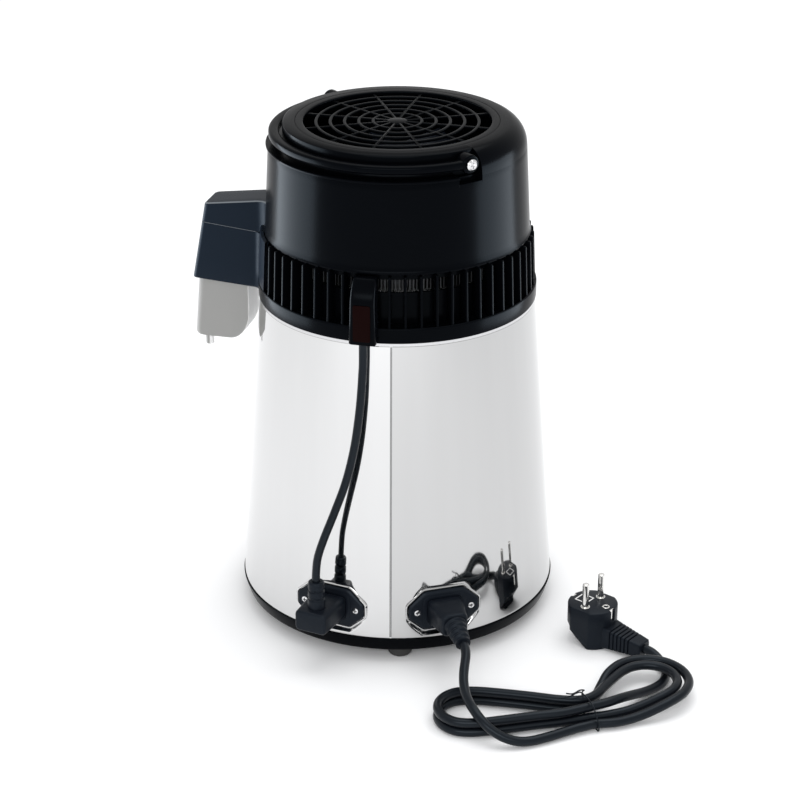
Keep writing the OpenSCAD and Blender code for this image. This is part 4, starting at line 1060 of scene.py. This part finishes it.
@dataclass
class Spout:
    """Spout in two mouldings that flare into the head, with a joint that falls toward it."""

    half: Pair = (15.0, 13.2)
    reach: Pair = (150.0, 138.6)
    z: Triple = (240.0, 283.0, 303.5)
    drum_r: float = 92.4
    head_r: Triple = (99.5, 96.1, 92.2)
    blend_r: Triple = (6.0, 9.0, 12.0)
    fall: float = 4.33
    sag: float = 3.0
    sag_reach: float = 50.0
    gap: float = 0.06
    drop: float = 6.2
    wall: float = 2.4
    wing: float = 33.0
    edge: float = 1.4
    corner: float = 3.4
    band_z: Pair = (250.6, 286.7)
    band_y: Pair = (22.5, 18.5)
    proud: float = 0.03

    def outline(self, f: float, inward: float = 0.0, wing: bool = False) -> Array:
        """Plan outline at a height fraction: a box blended into the head by arcs.

        The arc of radius r touches the side and the head of radius R, so its middle lies at
        R + r from the axis and at r from the side.

        Args:
            f: height fraction.
            inward: distance that the outline is moved inward.
            wing: whether it blends into the vent band and goes on along it as a smooth wall, or
                into the drum.

        Returns:
            Points (x, y) in the spout's frame.
        """
        w = self.half[0] + (self.half[1] - self.half[0]) * f - inward
        x = self.reach[0] + (self.reach[1] - self.reach[0]) * f - inward
        head, blend = (
            low + (high - low) * f if wing else drum
            for low, high, drum in (self.head_r, self.blend_r)
        )
        r = blend + inward
        middle = np.array([math.sqrt((head + blend) ** 2 - (w + r) ** 2), w + r])
        touch = math.atan2(middle[1], middle[0])
        foot = middle + polar(r, np.linspace(touch - math.pi, -math.pi / 2, 12))
        if wing:
            on = np.linspace(math.radians(self.wing), touch, 7)[:-1]
            foot = np.concatenate([polar(head - inward, on), foot])
        q, a = self.corner, np.linspace(0, np.pi / 2, 7)
        corner = np.stack([x - q + q * np.sin(a), w - q + q * np.cos(a)], axis=-1)
        upper = np.concatenate([foot, corner])
        return np.concatenate([upper, upper[::-1] * np.array([1.0, -1.0])])

    def joint(self, x: Array) -> Array:
        """Height of the joint: it falls evenly from the spout's end to the drum."""
        return self.z[1] - self.fall * (self.reach[0] - x) / (self.reach[0] - self.drum_r)

    def roof(self, x: Array) -> Array:
        """Height of the roof: it falls evenly from the drum to the spout's end."""
        share = (x - self.drum_r) / (self.reach[1] - self.drum_r)
        return self.z[2] - self.drop * np.clip(share, 0, 1.05)

    def ring(self, heights: Array, inward: float = 0.0, wing: bool = False) -> Array:
        """Points of the wall at heights, by their share between the foot's and top's outlines."""
        low, high = self.outline(0.0, inward, wing), self.outline(1.0, inward, wing)
        f = (heights - self.z[0]) / (self.z[2] - self.z[0])
        return np.column_stack([low + f[:, None] * (high - low), heights])

    def rim(self, roof: Array, t: float, proud: float = 0.0) -> Array:
        """Points of the rounded rim: edge (1 - cos t) inward and edge (1 - sin t) down."""
        down, inward = self.edge * (1 - math.sin(t)), self.edge * (1 - math.cos(t))
        return self.ring(roof - down + proud, inward - proud)

    def body(self) -> list[Patch]:
        """A wall open at both ends, as rows given by height share, offset and inward distance."""
        low = self.outline(0.0, wing=True)
        away = np.abs(low[:, 1])
        floor = self.z[0] - self.sag * np.clip((self.reach[0] - low[:, 0]) / self.sag_reach, 0, 1)
        floor = np.where(away > self.band_y[0], self.band_z[0], floor)
        top = np.where(away > self.band_y[1], self.band_z[1], self.joint(low[:, 0]) - self.gap)
        steps = [
            (0, 0, 0.3), (0, 0.4, 0), (0.35, 0, 0), (0.7, 0, 0), (1, -0.3, 0), (1, 0, 0.3),
            (1, 0, self.wall), (0.5, 0, self.wall), (0, 0, self.wall),
        ]
        rows = [self.ring(floor + (top - floor) * s + d, i, wing=True) for s, d, i in steps]
        return [Patch(np.array(rows), wrap_rows=True)]

    def lid(self) -> tuple[list[Patch], list[Patch]]:
        """A wall under a roof with a rounded rim, and strips of painted highlight along the rim and
        the joint.
        """
        low, high = self.outline(0.0), self.outline(1.0)
        joint, roof = self.joint(low[:, 0]), self.roof(high[:, 0])
        steps = [
            (0.85, 0, self.wall), (0, self.gap, self.wall), (0, self.gap, 0.3), (0, 0.4, 0),
            (0.35, 0, 0), (0.7, 0, 0),
        ]
        tall = roof - self.edge - joint
        rows = [self.ring(joint + tall * s + d, i) for s, d, i in steps]
        rows += [self.rim(roof, t) for t in np.linspace(0, np.pi / 2, 6)]
        half = len(low) // 2
        near, far = rows[-1][:half], rows[-1][half:][::-1]
        top = near + np.linspace(0, 1, 5)[:, None, None] * (far - near)
        # Painted highlights: light strips a hair proud of the rim and along the joint.
        highlight_lines = (
            [self.rim(roof, t, self.proud) for t in (0.35, 0.8, 1.25)],
            [self.ring(joint + d, -self.proud) for d in (-0.15, 0.15)],
        )
        edges = [Patch(np.array(line)[:, 2 : half + 6], wrap_columns=False) for line in highlight_lines]
        return [Patch(np.array(rows), cap_first=True), Patch(top, wrap_columns=False)], edges

    def build(self) -> None:
        """Makes the body, the lid and the strips of painted highlight on both."""
        place = Place.radial(SPOUT_ANGLE)
        lid, edges = self.lid()
        for name, patches in (("spout_body", self.body()), ("spout_lid", lid)):
            parts = [place.carry(p) for p in patches]
            make_piece(f"{name}_look", parts, Finishes.HOOD, Body.HEAD, [name], sharp=42.0)
        parts = [place.carry(p) for p in edges]
        make_piece("spout_edge_highlights", parts, Finishes.EDGE_HIGHLIGHT, Body.HEAD)


@dataclass
class Cup:
    """Milky filter cup with a long curved inner corner, a leaning outer wall and a nozzle."""

    x: Pair = (108.55, 145.2)
    half: float = 12.0
    z: Pair = (194.0, 248.0)
    wall: float = 1.6
    reach: float = 15.0
    rise: float = 21.0
    lean: Triple = (6.4, 2.2, 0.0)
    lean_z: float = 240.0
    foot: Pair = (2.2, 3.0)
    corner: tuple[float, float, float, float] = (0.5, 7.0, 7.0, 0.5)
    nozzle_x: float = 143.45
    nozzle_h: float = 11.0

    def rings(self, z: Array, inward: float) -> list[Array]:
        """Plan outlines at heights.

        The inner side follows a quarter ellipse up from the floor, and the outer side leans out
        to the floor, where its corner is rounded.

        Args:
            z: heights.
            inward: distance that the outlines are moved inward.

        Returns:
            One outline for each height.
        """
        up = z - self.z[0] - inward
        low = quarter(up / (self.rise - inward))
        near = self.x[0] + inward + (self.reach - inward) * low
        lean = np.interp(z, (self.z[0], self.lean_z, self.z[1]), self.lean)
        far = self.x[1] - inward + lean - self.foot[0] * quarter(up / self.foot[1])
        h = self.half - inward
        radii = [max(r - inward, 0.4) for r in self.corner]
        return [box_outline(a, b, -h, h, radii, 6) for a, b in zip(near, far)]

    def build(self) -> None:
        """Outlines from the inner floor over the rim to the outer floor, and a turned nozzle."""
        place = Place.radial(SPOUT_ANGLE)
        low, high = self.z
        top, share = [228.0, 238.0], np.linspace(0, 1, 14) ** 2
        rise = np.concatenate([low + self.rise * share, top, [high - 0.4]])[::-1]
        within = self.rise - self.wall
        inside = np.concatenate([low + self.wall + within * share, top, [high]])
        rings = self.rings(inside, self.wall) + self.rings(rise, 0.0)
        foot = low - self.nozzle_h
        corners = [(1.6, foot), (3.0, foot), (3.2, low + 0.4), (1.6, low + 0.4)]
        drip = revolve(rounded(corners, [0.3, 0.7, 0.1, 0.1]), turns(40))
        solids = (loft(rings, [*inside, *rise]), drip.moved((self.nozzle_x, 0.0, 0.0)))
        parts = [place.carry(p) for p in solids]
        make_piece("filter_cup_look", parts, Finishes.MILKY, Body.CUP, ["filter_cup"])


@dataclass
class OutletBox:
    """Box on the vent band that the fan lead leaves by, with a bare dark red panel."""

    half: Pair = (9.5, 8.2)
    tall: float = 46.0
    back_r: float = 91.2
    face_r: float = 107.5
    panel_z: float = 257.0

    def build(self) -> None:
        """A stack of rounded boxes that lean back and narrow toward the drum, and the panel."""
        z = np.array([241.0, 241.3, 242.0, 256.0, 270.0, 274.0, 278.0, 282.0, 285.6, 286.8])
        front = [106.6, 107.2, 107.5, 107.3, 107.0, 106.4, 104.8, 102.3, 99.4, 98.0]
        half = self.half[0] + (self.half[1] - self.half[0]) * (z - z[0]) / self.tall
        half = half - np.array([0.9, 0.3, 0, 0, 0, 0, 0, 0, 0.2, 0.8])
        rings = [box_outline(self.back_r, f, -w, w, 2.6, 5) for f, w in zip(front, half)]
        box = Place.radial(OUTLET_ANGLE).carry(loft(rings, z.tolist()))
        nodes = ["outlet_box"]
        make_piece("outlet_box_look", [box], Finishes.GLOSS, Body.HEAD, nodes, sharp=42.0)
        plate = centred_box(6, 13, 1.2, 4)
        place = Place.outward(OUTLET_ANGLE, self.face_r - 0.5, self.panel_z)
        panel = place.carry(prism(plate, plate, 0, 1.2, 0.25, 2))
        make_piece("outlet_panel_look", [panel], Finishes.RED, Body.HEAD, ["outlet_panel"])


# Leads


@dataclass
class Cords:
    """Routes of the two leads, in millimetres: the fan lead, and the mains cord with its hank."""

    cord_d: float = 6.6
    lead_d: float = 5.8
    exit_r: float = 155.86
    exit_z: float = 35.52
    tie: Pair = (131.0, -192.0)
    headings: Pair = (-3.5, 42.0)
    bend: float = 20.0
    boot_z: float = 8.4
    lead_top: Triple = (-23.28, -100.85, 241.0)
    lead_foot: Triple = (-56.76, -121.72, 70.0)
    lead_route: Route = (
        (-23.6, -102, 222), (-25.6, -106, 196), (-29.5, -109.6, 168), (-35.5, -113, 143),
        (-43.5, -116.5, 121), (-51, -119.6, 102), (-55.4, -121, 88),
    )
    cord_route: Route = (
        (46.8, -163.5, 31.4), (45.5, -172, 28.6), (45, -181, 25.8), (45.6, -190, 23.2),
        (47.5, -199, 21), (51, -208, 19.8), (56, -216.4, 16.4), (63.5, -222, 11.2),
        (73.5, -224.6, 6.5), (84, -224, 4), (94, -220.5, 3.8), (104, -216, 4),
        (113, -211.5, 4.3),
    )
    plug_route: Route = (
        (150, -182.5, 11.5), (157, -176, 9.8), (165, -168.5, 7), (173, -161, 4.6),
        (181, -153.5, 3.6), (186, -147, 3.5), (189, -138.5, 3.5), (189, -129.5, 4),
        (185.8, -120.7, 6),
    )

    def lobe(
        self, c: float, q: float, w: Pair, z: Triple
    ) -> Array:
        """One loop of the hank in its own plane.

        It runs from (0, w1) along the tangent to a circle of radius q about (c, 0), round that
        circle and back along the other tangent to (0, w2). Its height goes from z1 to zm on the
        circle and on to z2.

        Args:
            c: distance of the circle's middle.
            q: radius of the circle.
            w: w1 and w2.
            z: z1, zm and z2.

        Returns:
            Points of the loop.
        """
        a1, a2 = math.atan2(w[0], -c), math.atan2(w[1], -c)
        t1 = (a1 - 2 * math.pi if a1 > 0 else a1) + math.acos(q / math.hypot(c, w[0]))
        t2 = (a2 + 2 * math.pi if a2 < 0 else a2) - math.acos(q / math.hypot(c, w[1]))
        arc = np.linspace(t1, t2, 8)
        bow = np.column_stack([polar(q, arc) + np.array([c, 0.0]), np.full(8, z[1])])
        f = np.array([0, 0.25, 0.5, 0.75])
        legs = []
        for end, side, up, share in ((bow[0], w[0], z[0], f), (bow[-1], w[1], z[2], f[:0:-1])):
            lift = np.where(share < 0.7, up, (2 * up + z[1]) / 3)
            legs.append(np.stack([end[0] * share, side + (end[1] - side) * share, lift], axis=-1))
        return np.vstack([legs[0], bow, legs[1]])

    def on_hank(self, p: Array) -> Array:
        """Points of the hank's plane, laid along an axis that bends evenly at the tie."""
        left, right = np.radians(self.headings)
        radius = 2 * self.bend / (right - left)
        share = np.clip((p[:, 0] + self.bend) / (2 * self.bend), 0, 1)
        heading = left + (right - left) * share
        middle = (left + right) / 2
        over = p[:, 0] - np.clip(p[:, 0], -self.bend, self.bend)
        sin, cos = np.sin(heading), np.cos(heading)
        x = self.tie[0] + radius * (sin - math.sin(middle)) + over * cos
        y = self.tie[1] - radius * (cos - math.cos(middle)) + over * sin
        return np.stack([x - p[:, 1] * sin, y + p[:, 1] * cos, p[:, 2]], axis=-1)

    def hank(self) -> Array:
        """Path of the hank: two loops over its right end and two under its left one."""
        d, low, tied, over, layer = self.cord_d, 3.5, 4.6, 12.0, 7.1
        second, back = tied + layer, np.array([-1.0, -1.0, 1.0])
        loops = np.vstack([
            self.lobe(55, 30.2, (-10.8, 8.0), (tied, over, tied)),
            self.lobe(84, 21.5, (-8.0, 0.0), (tied, low, tied)) * back,
            self.lobe(55, 21.5, (0.0, 8.0), (tied, over, second)),
            self.lobe(84, 21.5, (-8.0, 0.0), (second, low + layer, second)) * back,
            [[0, 0, second]],
        ])
        ends = [[-d, -11.6, tied]], [[d, 0, second]]
        return self.on_hank(np.vstack([ends[0], eased(loops, 1), ends[1]]))

    def mains_path(self) -> Array:
        """Path of the whole mains cord from its connector's boot to the plug's boot."""
        d, hank = self.cord_d, self.hank()
        out, down = Place.radial(MAINS_ANGLE).axes[0], math.radians(BOOT_TILT)
        start = out * self.exit_r + np.array([0, 0, self.exit_z])
        ray = out * math.cos(down) - np.array([0, 0, math.sin(down)])
        into, away = unit(hank[1] - hank[0]), unit(hank[-1] - hank[-2])
        plug_ray = Place.radial(PLUG_HEADING).axes[0]
        end = np.array([*PLUG_AT, self.boot_z]) + PLUG_BOOT * plug_ray
        first = [start, start + d * ray, self.cord_route, hank[0] - d * into, hank[0]]
        last = [hank[-1], hank[-1] + d * away, self.plug_route, end + d * plug_ray, end]
        first, last = (eased(smooth_path(np.vstack(part), 2), 2) for part in (first, last))
        return smooth_path(np.vstack([first, hank[1:-1], last]), 5)

    def lead_path(self) -> Array:
        """Path of the fan lead from the outlet box down to its connector's boot."""
        top, foot = np.array(self.lead_top), np.array(self.lead_foot)
        drop = np.array([0, 0, self.lead_d])
        return smooth_path(np.vstack([top, top - drop, self.lead_route, foot + drop, foot]), 8)

    def build_fan_lead(self) -> None:
        """The fan lead, which runs between head and base, on no body."""
        path = self.lead_path()
        sheath = tube(path, self.lead_d / 2, 24)
        lead = make_piece("fan_lead_look", [sheath], Finishes.PVC, None, ["fan_lead"])
        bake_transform(lead)

    def build_mains_cord(self) -> None:
        """The mains cord in one piece.
        """
        path = self.mains_path()
        sheath = tube(path, self.cord_d / 2, 24)
        nodes = ["mains_cord", "mains_hank", "plug_cord"]
        cord = make_piece("mains_cord_look", [sheath], Finishes.PVC, Body.LEAD, nodes)
        LOG.info("mains cord: %.0f mm", path_length(path))

    def build_tie(self) -> bpy.types.Object:
        """Twist tie: a wire looped round the hank's waist, with two loose ends."""
        out, top, near, low = 15.2, 16.3, 15.5, 0.75
        loop = np.array([
            [-21, 3, top + 2], [-14, 4.5, top + 2.5], [-7, out - 6, top + 1.8],
            [-2, out - 5, top + 0.4], [-0.6, -4.5, top], [-0.3, -near + 2, 9.4], [0, -near, 7],
            [0, -near, 3], [0, -near + 2.4, low], [0, 0, low], [0, out - 2.4, low],
            [0.4, out, 3], [0.9, out, top - 4], [0.9, out - 0.8, top - 1],
            [0.2, out - 4, top + 1.9], [-5, out - 6.5, top + 4], [-12, 3, top + 5.4],
            [-17, 1, top + 7],
        ])
        wire = tube(smooth_path(self.on_hank(loop), 6), 0.5, 10)
        return make_piece("twist_tie_look", [wire], Finishes.PVC, Body.LEAD, ["twist_tie"])


@dataclass
class Connectors:
    """The two appliance connectors: straight on the mains lead, angled on the fan lead."""

    grip: Pair = (13.0, 10.0)
    nose: Pair = (12.2, 8.7)
    nose_z: Pair = (-11.5, 4.0)
    stand: float = 3.4
    grip_l: float = 24.0
    boot_l: float = 18.5
    fan_h: float = 17.6
    fan_boot_r: float = 134.3
    fan_end: float = 145.0

    def boot(self, r0: float, r1: float, length: float, collars: int) -> Array:
        """Profile (r, z) of a boot: it tapers from r0 to r1, with collars that fade along it."""
        t = np.linspace(0, 1, 24 * collars + 1)
        wave = np.clip(np.cos(2 * np.pi * collars * t) * 1.6, -1, 1) * 0.55 * (1 - 0.3 * t)
        body = np.stack([r0 + (r1 - r0) * t + wave, length * t], axis=-1)
        return np.vstack([[[0.0, 0.0]], body, [[r1 - 1.2, length + 0.3], [0.0, length + 0.3]]])

    def nose_solid(self) -> Patch:
        """The part of a connector that goes into its socket."""
        outline = centred_box(*self.nose, 2.0, 6)
        return prism(outline, outline, *self.nose_z, 0.4, 2)

    def mains(self) -> None:
        """The straight connector: a tapering grip and a collared boot that leans down."""
        w, h = self.grip
        front, tail = centred_box(w, h, 4.5, 6), centred_box(w * 0.72, h * 0.82, 5.0, 6)
        end = self.stand + self.grip_l
        grip = prism(front, tail, self.stand, end, 1.8, 4, 4)
        boot = revolve(self.boot(7.4, 5.0, self.boot_l, 4), turns(40), closed=False)
        sin, cos = math.sin(math.radians(BOOT_TILT)), math.cos(math.radians(BOOT_TILT))
        lean = np.array([[1, 0, 0], [0, cos, sin], [0, -sin, cos]])
        boot = Place(np.array([0, 0, end - 0.2]), lean).carry(boot)
        knob = np.array([[0, -2.5], [6.6, -2.5], [6.8, 1.0], [6.0, 2.4], [0, 2.4]])
        root = revolve(knob, turns(40), closed=False).moved((0, 0, end))
        place = Place.outward(MAINS_ANGLE, SEAT_R, SEAT_Z)
        parts = [place.carry(p) for p in (self.nose_solid(), grip, boot, root)]
        nodes = ["mains_connector"]
        make_piece("mains_connector_look", parts, Finishes.DULL, Body.LEAD, nodes)

    def fan(self) -> None:
        """The angled connector: a block, and an upright boot with two grooves."""
        w, h = self.grip
        front = box_outline(-w, w, h - self.fan_h, h, 4.0, 6)
        end = box_outline(-w * 0.92, w * 0.92, h * 0.94 - self.fan_h * 0.9, h * 0.94, 4.0, 6)
        block = prism(front, end, self.stand, self.fan_end - SEAT_R, 1.8, 4, 4)
        place = Place.outward(FAN_ANGLE, SEAT_R, SEAT_Z)
        parts = [place.carry(p) for p in (self.nose_solid(), block)]
        profile = (
            (0.01, 48.5, 0.001), (6.6, 48.5, 0.2), (6.0, 56.0, 0.7), (5.2, 56.4, 0.4),
            (5.2, 57.6, 0.4), (6.0, 58.2, 0.8), (5.9, 62.4, 0.8), (5.0, 62.8, 0.4),
            (5.0, 63.8, 0.4), (5.9, 64.4, 0.8), (5.7, 69.2, 0.9), (4.8, 70.0, 0.4),
            (0.01, 70.0, 0.001),
        )
        boot = rounded([point[:2] for point in profile], [point[2] for point in profile])
        foot = Place.radial(FAN_ANGLE, self.fan_boot_r).origin
        parts.append(revolve(boot, turns(48)).moved(foot))
        make_piece("fan_connector_look", parts, Finishes.DULL, Body.BASE, ["fan_connector"])

    def build(self) -> None:
        """Makes both connectors."""
        self.mains()
        self.fan()


@dataclass
class Plug:
    """Angled earthed plug that stands on its back with its pins up."""

    r: float = 18.0
    flat: float = 16.2
    face_z: float = 30.0
    heel: float = 7.0
    heel_z: float = 17.5
    slot: Triple = (2.2, 2.4, 21.0)
    root: Triple = (11.0, 0.3, 19.5)
    end: Triple = (6.25, 3.2, 13.6)
    pin_y: float = 9.5
    earth_x: float = 11.5
    sink: float = 0.2

    def body(self) -> Patch:
        """A stack of circles with two flats, slanted off below its back, slotted at both ends."""
        wide, deep, slot_z = self.slot
        edge = math.degrees(math.asin(wide / self.r))
        ray = turns(120, notch_edges(0, edge, 0.1))
        z = np.array([
            0.1, 0.5, 3.0, 7.0, 11.0, 15.0, self.heel_z, slot_z, slot_z, 29.0, 29.7, self.face_z
        ])
        back = np.maximum(self.heel - z * (self.heel + self.r) / self.heel_z, -self.r)
        ease = [0.8, 0.2, 0, 0, 0, 0, 0, 0, 0, 0, 0.3, 1.0]
        slotted = z.tolist().index(slot_z) + 1
        rings = []
        for k, (low, d) in enumerate(zip(back, ease)):
            r = self.r - d
            x, y = r * np.cos(ray), np.clip(r * np.sin(ray), -self.flat + d, self.flat - d)
            if k >= slotted:
                x = np.where(np.abs(y) < wide, np.clip(x, deep - self.r, self.r - deep), x)
            rings.append(np.stack([np.maximum(x, low), y], axis=-1))
        return loft(rings, z.tolist())

    def neck(self) -> Patch:
        """A block that tapers to the cord, drawn in at the grooves between its ribs."""
        groove = ((0, 0), (0.15, 1.1), (1.05, 1.1), (1.2, 0))
        ribs = [(21 + 3 * i + x, d) for i in range(6) for x, d in groove]
        root, end = np.array(self.root), np.array(self.end)
        rings = []
        for x, d in [(0, 0), *ribs, (PLUG_BOOT - 0.7, 0), (PLUG_BOOT, 0.7)]:
            w, low, high = root + (end - root) * (x / PLUG_BOOT) + d * np.array([-1.0, 0.3, -1.0])
            section = box_outline(-w, w, low, high, 1.8, 4)
            rings.append(np.column_stack([np.full(len(section), x), section]))
        return Patch(np.array(rings), cap_first=True, cap_last=True)

    def build(self) -> list[bpy.types.Object]:
        """Body with its neck, collars at pins and earth hole, a bare square inlay and pins."""
        place = replace(Place.radial(PLUG_HEADING), origin=np.array([*PLUG_AT, 0.0]))
        top = self.face_z - self.sink
        collars = []
        spots = ((0, self.pin_y, 2.5, 3.4), (0, -self.pin_y, 2.5, 3.4), (self.earth_x, 0, 1.7, 2.7))
        for x, y, r0, r1 in spots:
            ring = revolve(box_outline(r0, r1, top, top + 0.7, 0.25, 3), turns(40))
            collars.append(ring.moved((x, y, 0.0)))
        square = box_outline(-12.6, -2.2, -5.2, 5.2, 0.4, 2)
        inner = inset(square, 0.9)
        heights = [top, top + 0.35, top + 0.35, top]
        inlay = loft([square, square, inner, inner], heights, closed=True)
        shape = [(0.02, 24.0), (2.0, 24.0), (2.0, 30.3), (2.4, 30.3), (2.4, 49.0), (0.02, 49.0)]
        pin = revolve(rounded(shape, [0.01, 0.1, 0.1, 0.1, 1.9, 0.01], 6), turns(40))
        pins = [pin.moved((0, side * self.pin_y, 0.0)) for side in (-1, 1)]
        solids = [self.body(), self.neck()]
        made = []
        for name, patches, finish, nodes, sharp in (
            ("plug_body_look", solids, Finishes.DULL, ["plug_body"], 30.0),
            ("plug_collars", collars, Finishes.NICKEL, [], 38.0),
            ("plug_inlay", [inlay], Finishes.WHITE, [], 38.0),
            ("plug_pins_look", pins, Finishes.NICKEL, ["plug_pins"], 38.0),
        ):
            parts = [place.carry(p) for p in patches]
            made.append(make_piece(name, parts, finish, Body.LEAD, nodes, sharp))
        return made


# Inside and stage


@dataclass
class KeptNodes:
    """CAD nodes that keep their shape and get a finish."""

    nodes: dict[Finish, tuple[str, ...]] = field(default_factory=lambda: {
        Finishes.GLOSS: ("base_cover",),
        Finishes.SCREW: ("base_screws", "bracket_screws", "pivot_screws"),
        Finishes.SATIN: ("boiler_pot", "heat_shield", "inner_lid", "condenser_coil"),
        Finishes.ALU: ("heater_plate",),
        Finishes.SHEATH: ("heating_element",),
        Finishes.NICKEL: ("thermostat", "socket_pins", "earth_contacts"),
        Finishes.CERAMIC: ("thermal_fuse",),
        Finishes.SILICONE: ("seal_ring",),
        Finishes.DULL: ("fan_bracket", "fan_rotor"),
        Finishes.MOTOR: ("fan_motor",),
        Finishes.CLOTH: ("charcoal_sachet",),
    })

    def dress(self, found: dict[str, bpy.types.Object]) -> None:
        """Gives each kept node its finish.

        Args:
            found: the frame's CAD nodes by name.
        """
        for finish, names in self.nodes.items():
            for obj in (found[name] for name in names):
                obj.data.materials.clear()
                obj.data.materials.append(finish.material())
            LOG.info("CAD nodes in %s: %s", finish.name, ", ".join(names))


@dataclass
class Studio:
    """White studio: camera, floor, soft lamps and world, in metres but for lens and sensor."""

    place: Triple = (0.0, -1.5, 0.842)
    pitch: float = 65.33
    lens: float = 101.565
    sensor: float = 36.0
    shift: float = 0.003125
    floor_half: float = 30.0
    tint: Triple = (0.82, 0.91, 1.0)
    sky: Triple = (0.8, 0.8, 0.8)
    glossy: tuple[Finish, ...] = (Finishes.GLOSS, Finishes.HOOD)

    def camera(self) -> None:
        """The photo's camera."""
        data = bpy.data.cameras.new("camera")
        data.lens, data.sensor_width, data.shift_x = self.lens, self.sensor, self.shift
        obj = bpy.data.objects.new("camera", data)
        obj.location = self.place
        obj.rotation_euler = (math.radians(self.pitch), 0, 0)
        bpy.context.scene.collection.objects.link(obj)
        bpy.context.scene.camera = obj

    def floor(self) -> None:
        """A wide white floor."""
        mesh = bpy.data.meshes.new("floor")
        r = self.floor_half
        mesh.from_pydata([(-r, -r, 0), (r, -r, 0), (r, r, 0), (-r, r, 0)], [], [(0, 1, 2, 3)])
        obj = bpy.data.objects.new("floor", mesh)
        paper = Finish("white paper", "", (0.96, 0.965, 0.975), 0.9, 0.0, specular=0.0)
        mesh.materials.append(paper.material())
        bpy.context.scene.collection.objects.link(obj)

    def lamp(
        self,
        name: str,
        place: Sequence[float],
        aim: Sequence[float],
        size: Sequence[float],
        watts: float,
        lights: bpy.types.Collection | None = None,
    ) -> None:
        """One rectangular lamp.

        Args:
            name: its name.
            place: its middle.
            aim: the point it faces.
            size: its width and height.
            watts: its power.
            lights: the only objects that it lights, or None for all.
        """
        data = bpy.data.lights.new(name, "AREA")
        data.shape, data.size, data.size_y, data.energy = "RECTANGLE", *size, watts
        data.color = self.tint if lights is not None else (1.0, 1.0, 1.0)
        obj = bpy.data.objects.new(name, data)
        obj.location = place
        away = np.asarray(place, dtype=float) - np.asarray(aim, dtype=float)
        flat = math.hypot(away[0], away[1])
        obj.rotation_euler = (math.atan2(flat, away[2]), 0, math.atan2(away[0], -away[1]))
        if lights is not None:
            obj.light_linking.receiver_collection = lights
        bpy.context.scene.collection.objects.link(obj)

    def world(self) -> None:
        """An even white world."""
        made = bpy.data.worlds.new("white room")
        bpy.context.scene.world = made
        made.use_nodes = True
        made.node_tree.nodes.clear()
        sh = Shader(made.node_tree)
        back = sh.add("ShaderNodeBackground", color_in=(*self.sky, 1.0), strength_in=1.0)
        sh.wire((back, "Background", sh.add("ShaderNodeOutputWorld"), "Surface"))

    def build(self) -> None:
        """Floor, world, lamps and a plain view transform, after the pieces the panels light."""
        self.floor()
        self.world()
        self.lamp("top_soft_box", (0.2, 0.5, 2.2), (0, 0.5, 0.0), (2.0, 2.0), 26.0)
        self.lamp("front_soft_box", (-0.2, -1.7, 0.9), (0, -0.2, 0.0), (1.6, 0.5), 11.0)
        plastic = bpy.data.collections.new("plastic")
        names = [finish.name for finish in self.glossy]
        for obj in bpy.context.scene.objects:
            if obj.type == "MESH" and obj.material_slots and obj.material_slots[0].name in names:
                plastic.objects.link(obj)
        self.lamp("left_panel", (-0.58, 0.06, 0.22), (0, 0.0, 0.22), (0.55, 0.42), 7.6, plastic)
        self.lamp("right_panel", (0.60, 0.0, 0.22), (0, 0.0, 0.24), (0.50, 0.42), 5.8, plastic)
        bpy.context.scene.view_settings.view_transform = "Standard"


def corners(box: Sequence[Sequence[float]]) -> list[list[float]]:
    """A box's two corners as plain lists."""
    return [[float(v) for v in corner] for corner in box]


def main() -> None:
    """Builds the object's pieces and the studio in order."""
    logging.basicConfig(level=logging.INFO, format="%(name)s: %(message)s")
    for old in list(bpy.data.objects):
        bpy.data.objects.remove(old)
    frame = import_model()
    studio = Studio()
    studio.camera()
    cords = Cords()
    tie = cords.build_tie()
    plug = Plug().build()
    Connectors().build()
    cords.build_mains_cord()
    cords.build_fan_lead()
    sockets = [Socket(MAINS_ANGLE, "mains_socket"), Socket(FAN_ANGLE, "fan_socket")]
    Boiler(sockets).build()
    for socket in sockets:
        socket.build()
    heads, recess_shades = zip(*(socket.screws() for socket in sockets))
    nodes = ["socket_screws"]
    make_piece("socket_screws_look", sum(heads, []), Finishes.SCREW, Body.BASE, nodes)
    # Painted shade: dark bars on the screw heads stand for the shade in their cross recesses.
    make_piece("screw_recess_shade", sum(recess_shades, []), Finishes.MOTOR, Body.BASE)
    for kind in (VentBand, CoolingFins, Drum, TopCover, Grille, Handle, Spout, Cup, OutletBox):
        kind().build()
    KeptNodes().dress(frame["nodes"])
    studio.build()


if __name__ == "__main__":
    main()
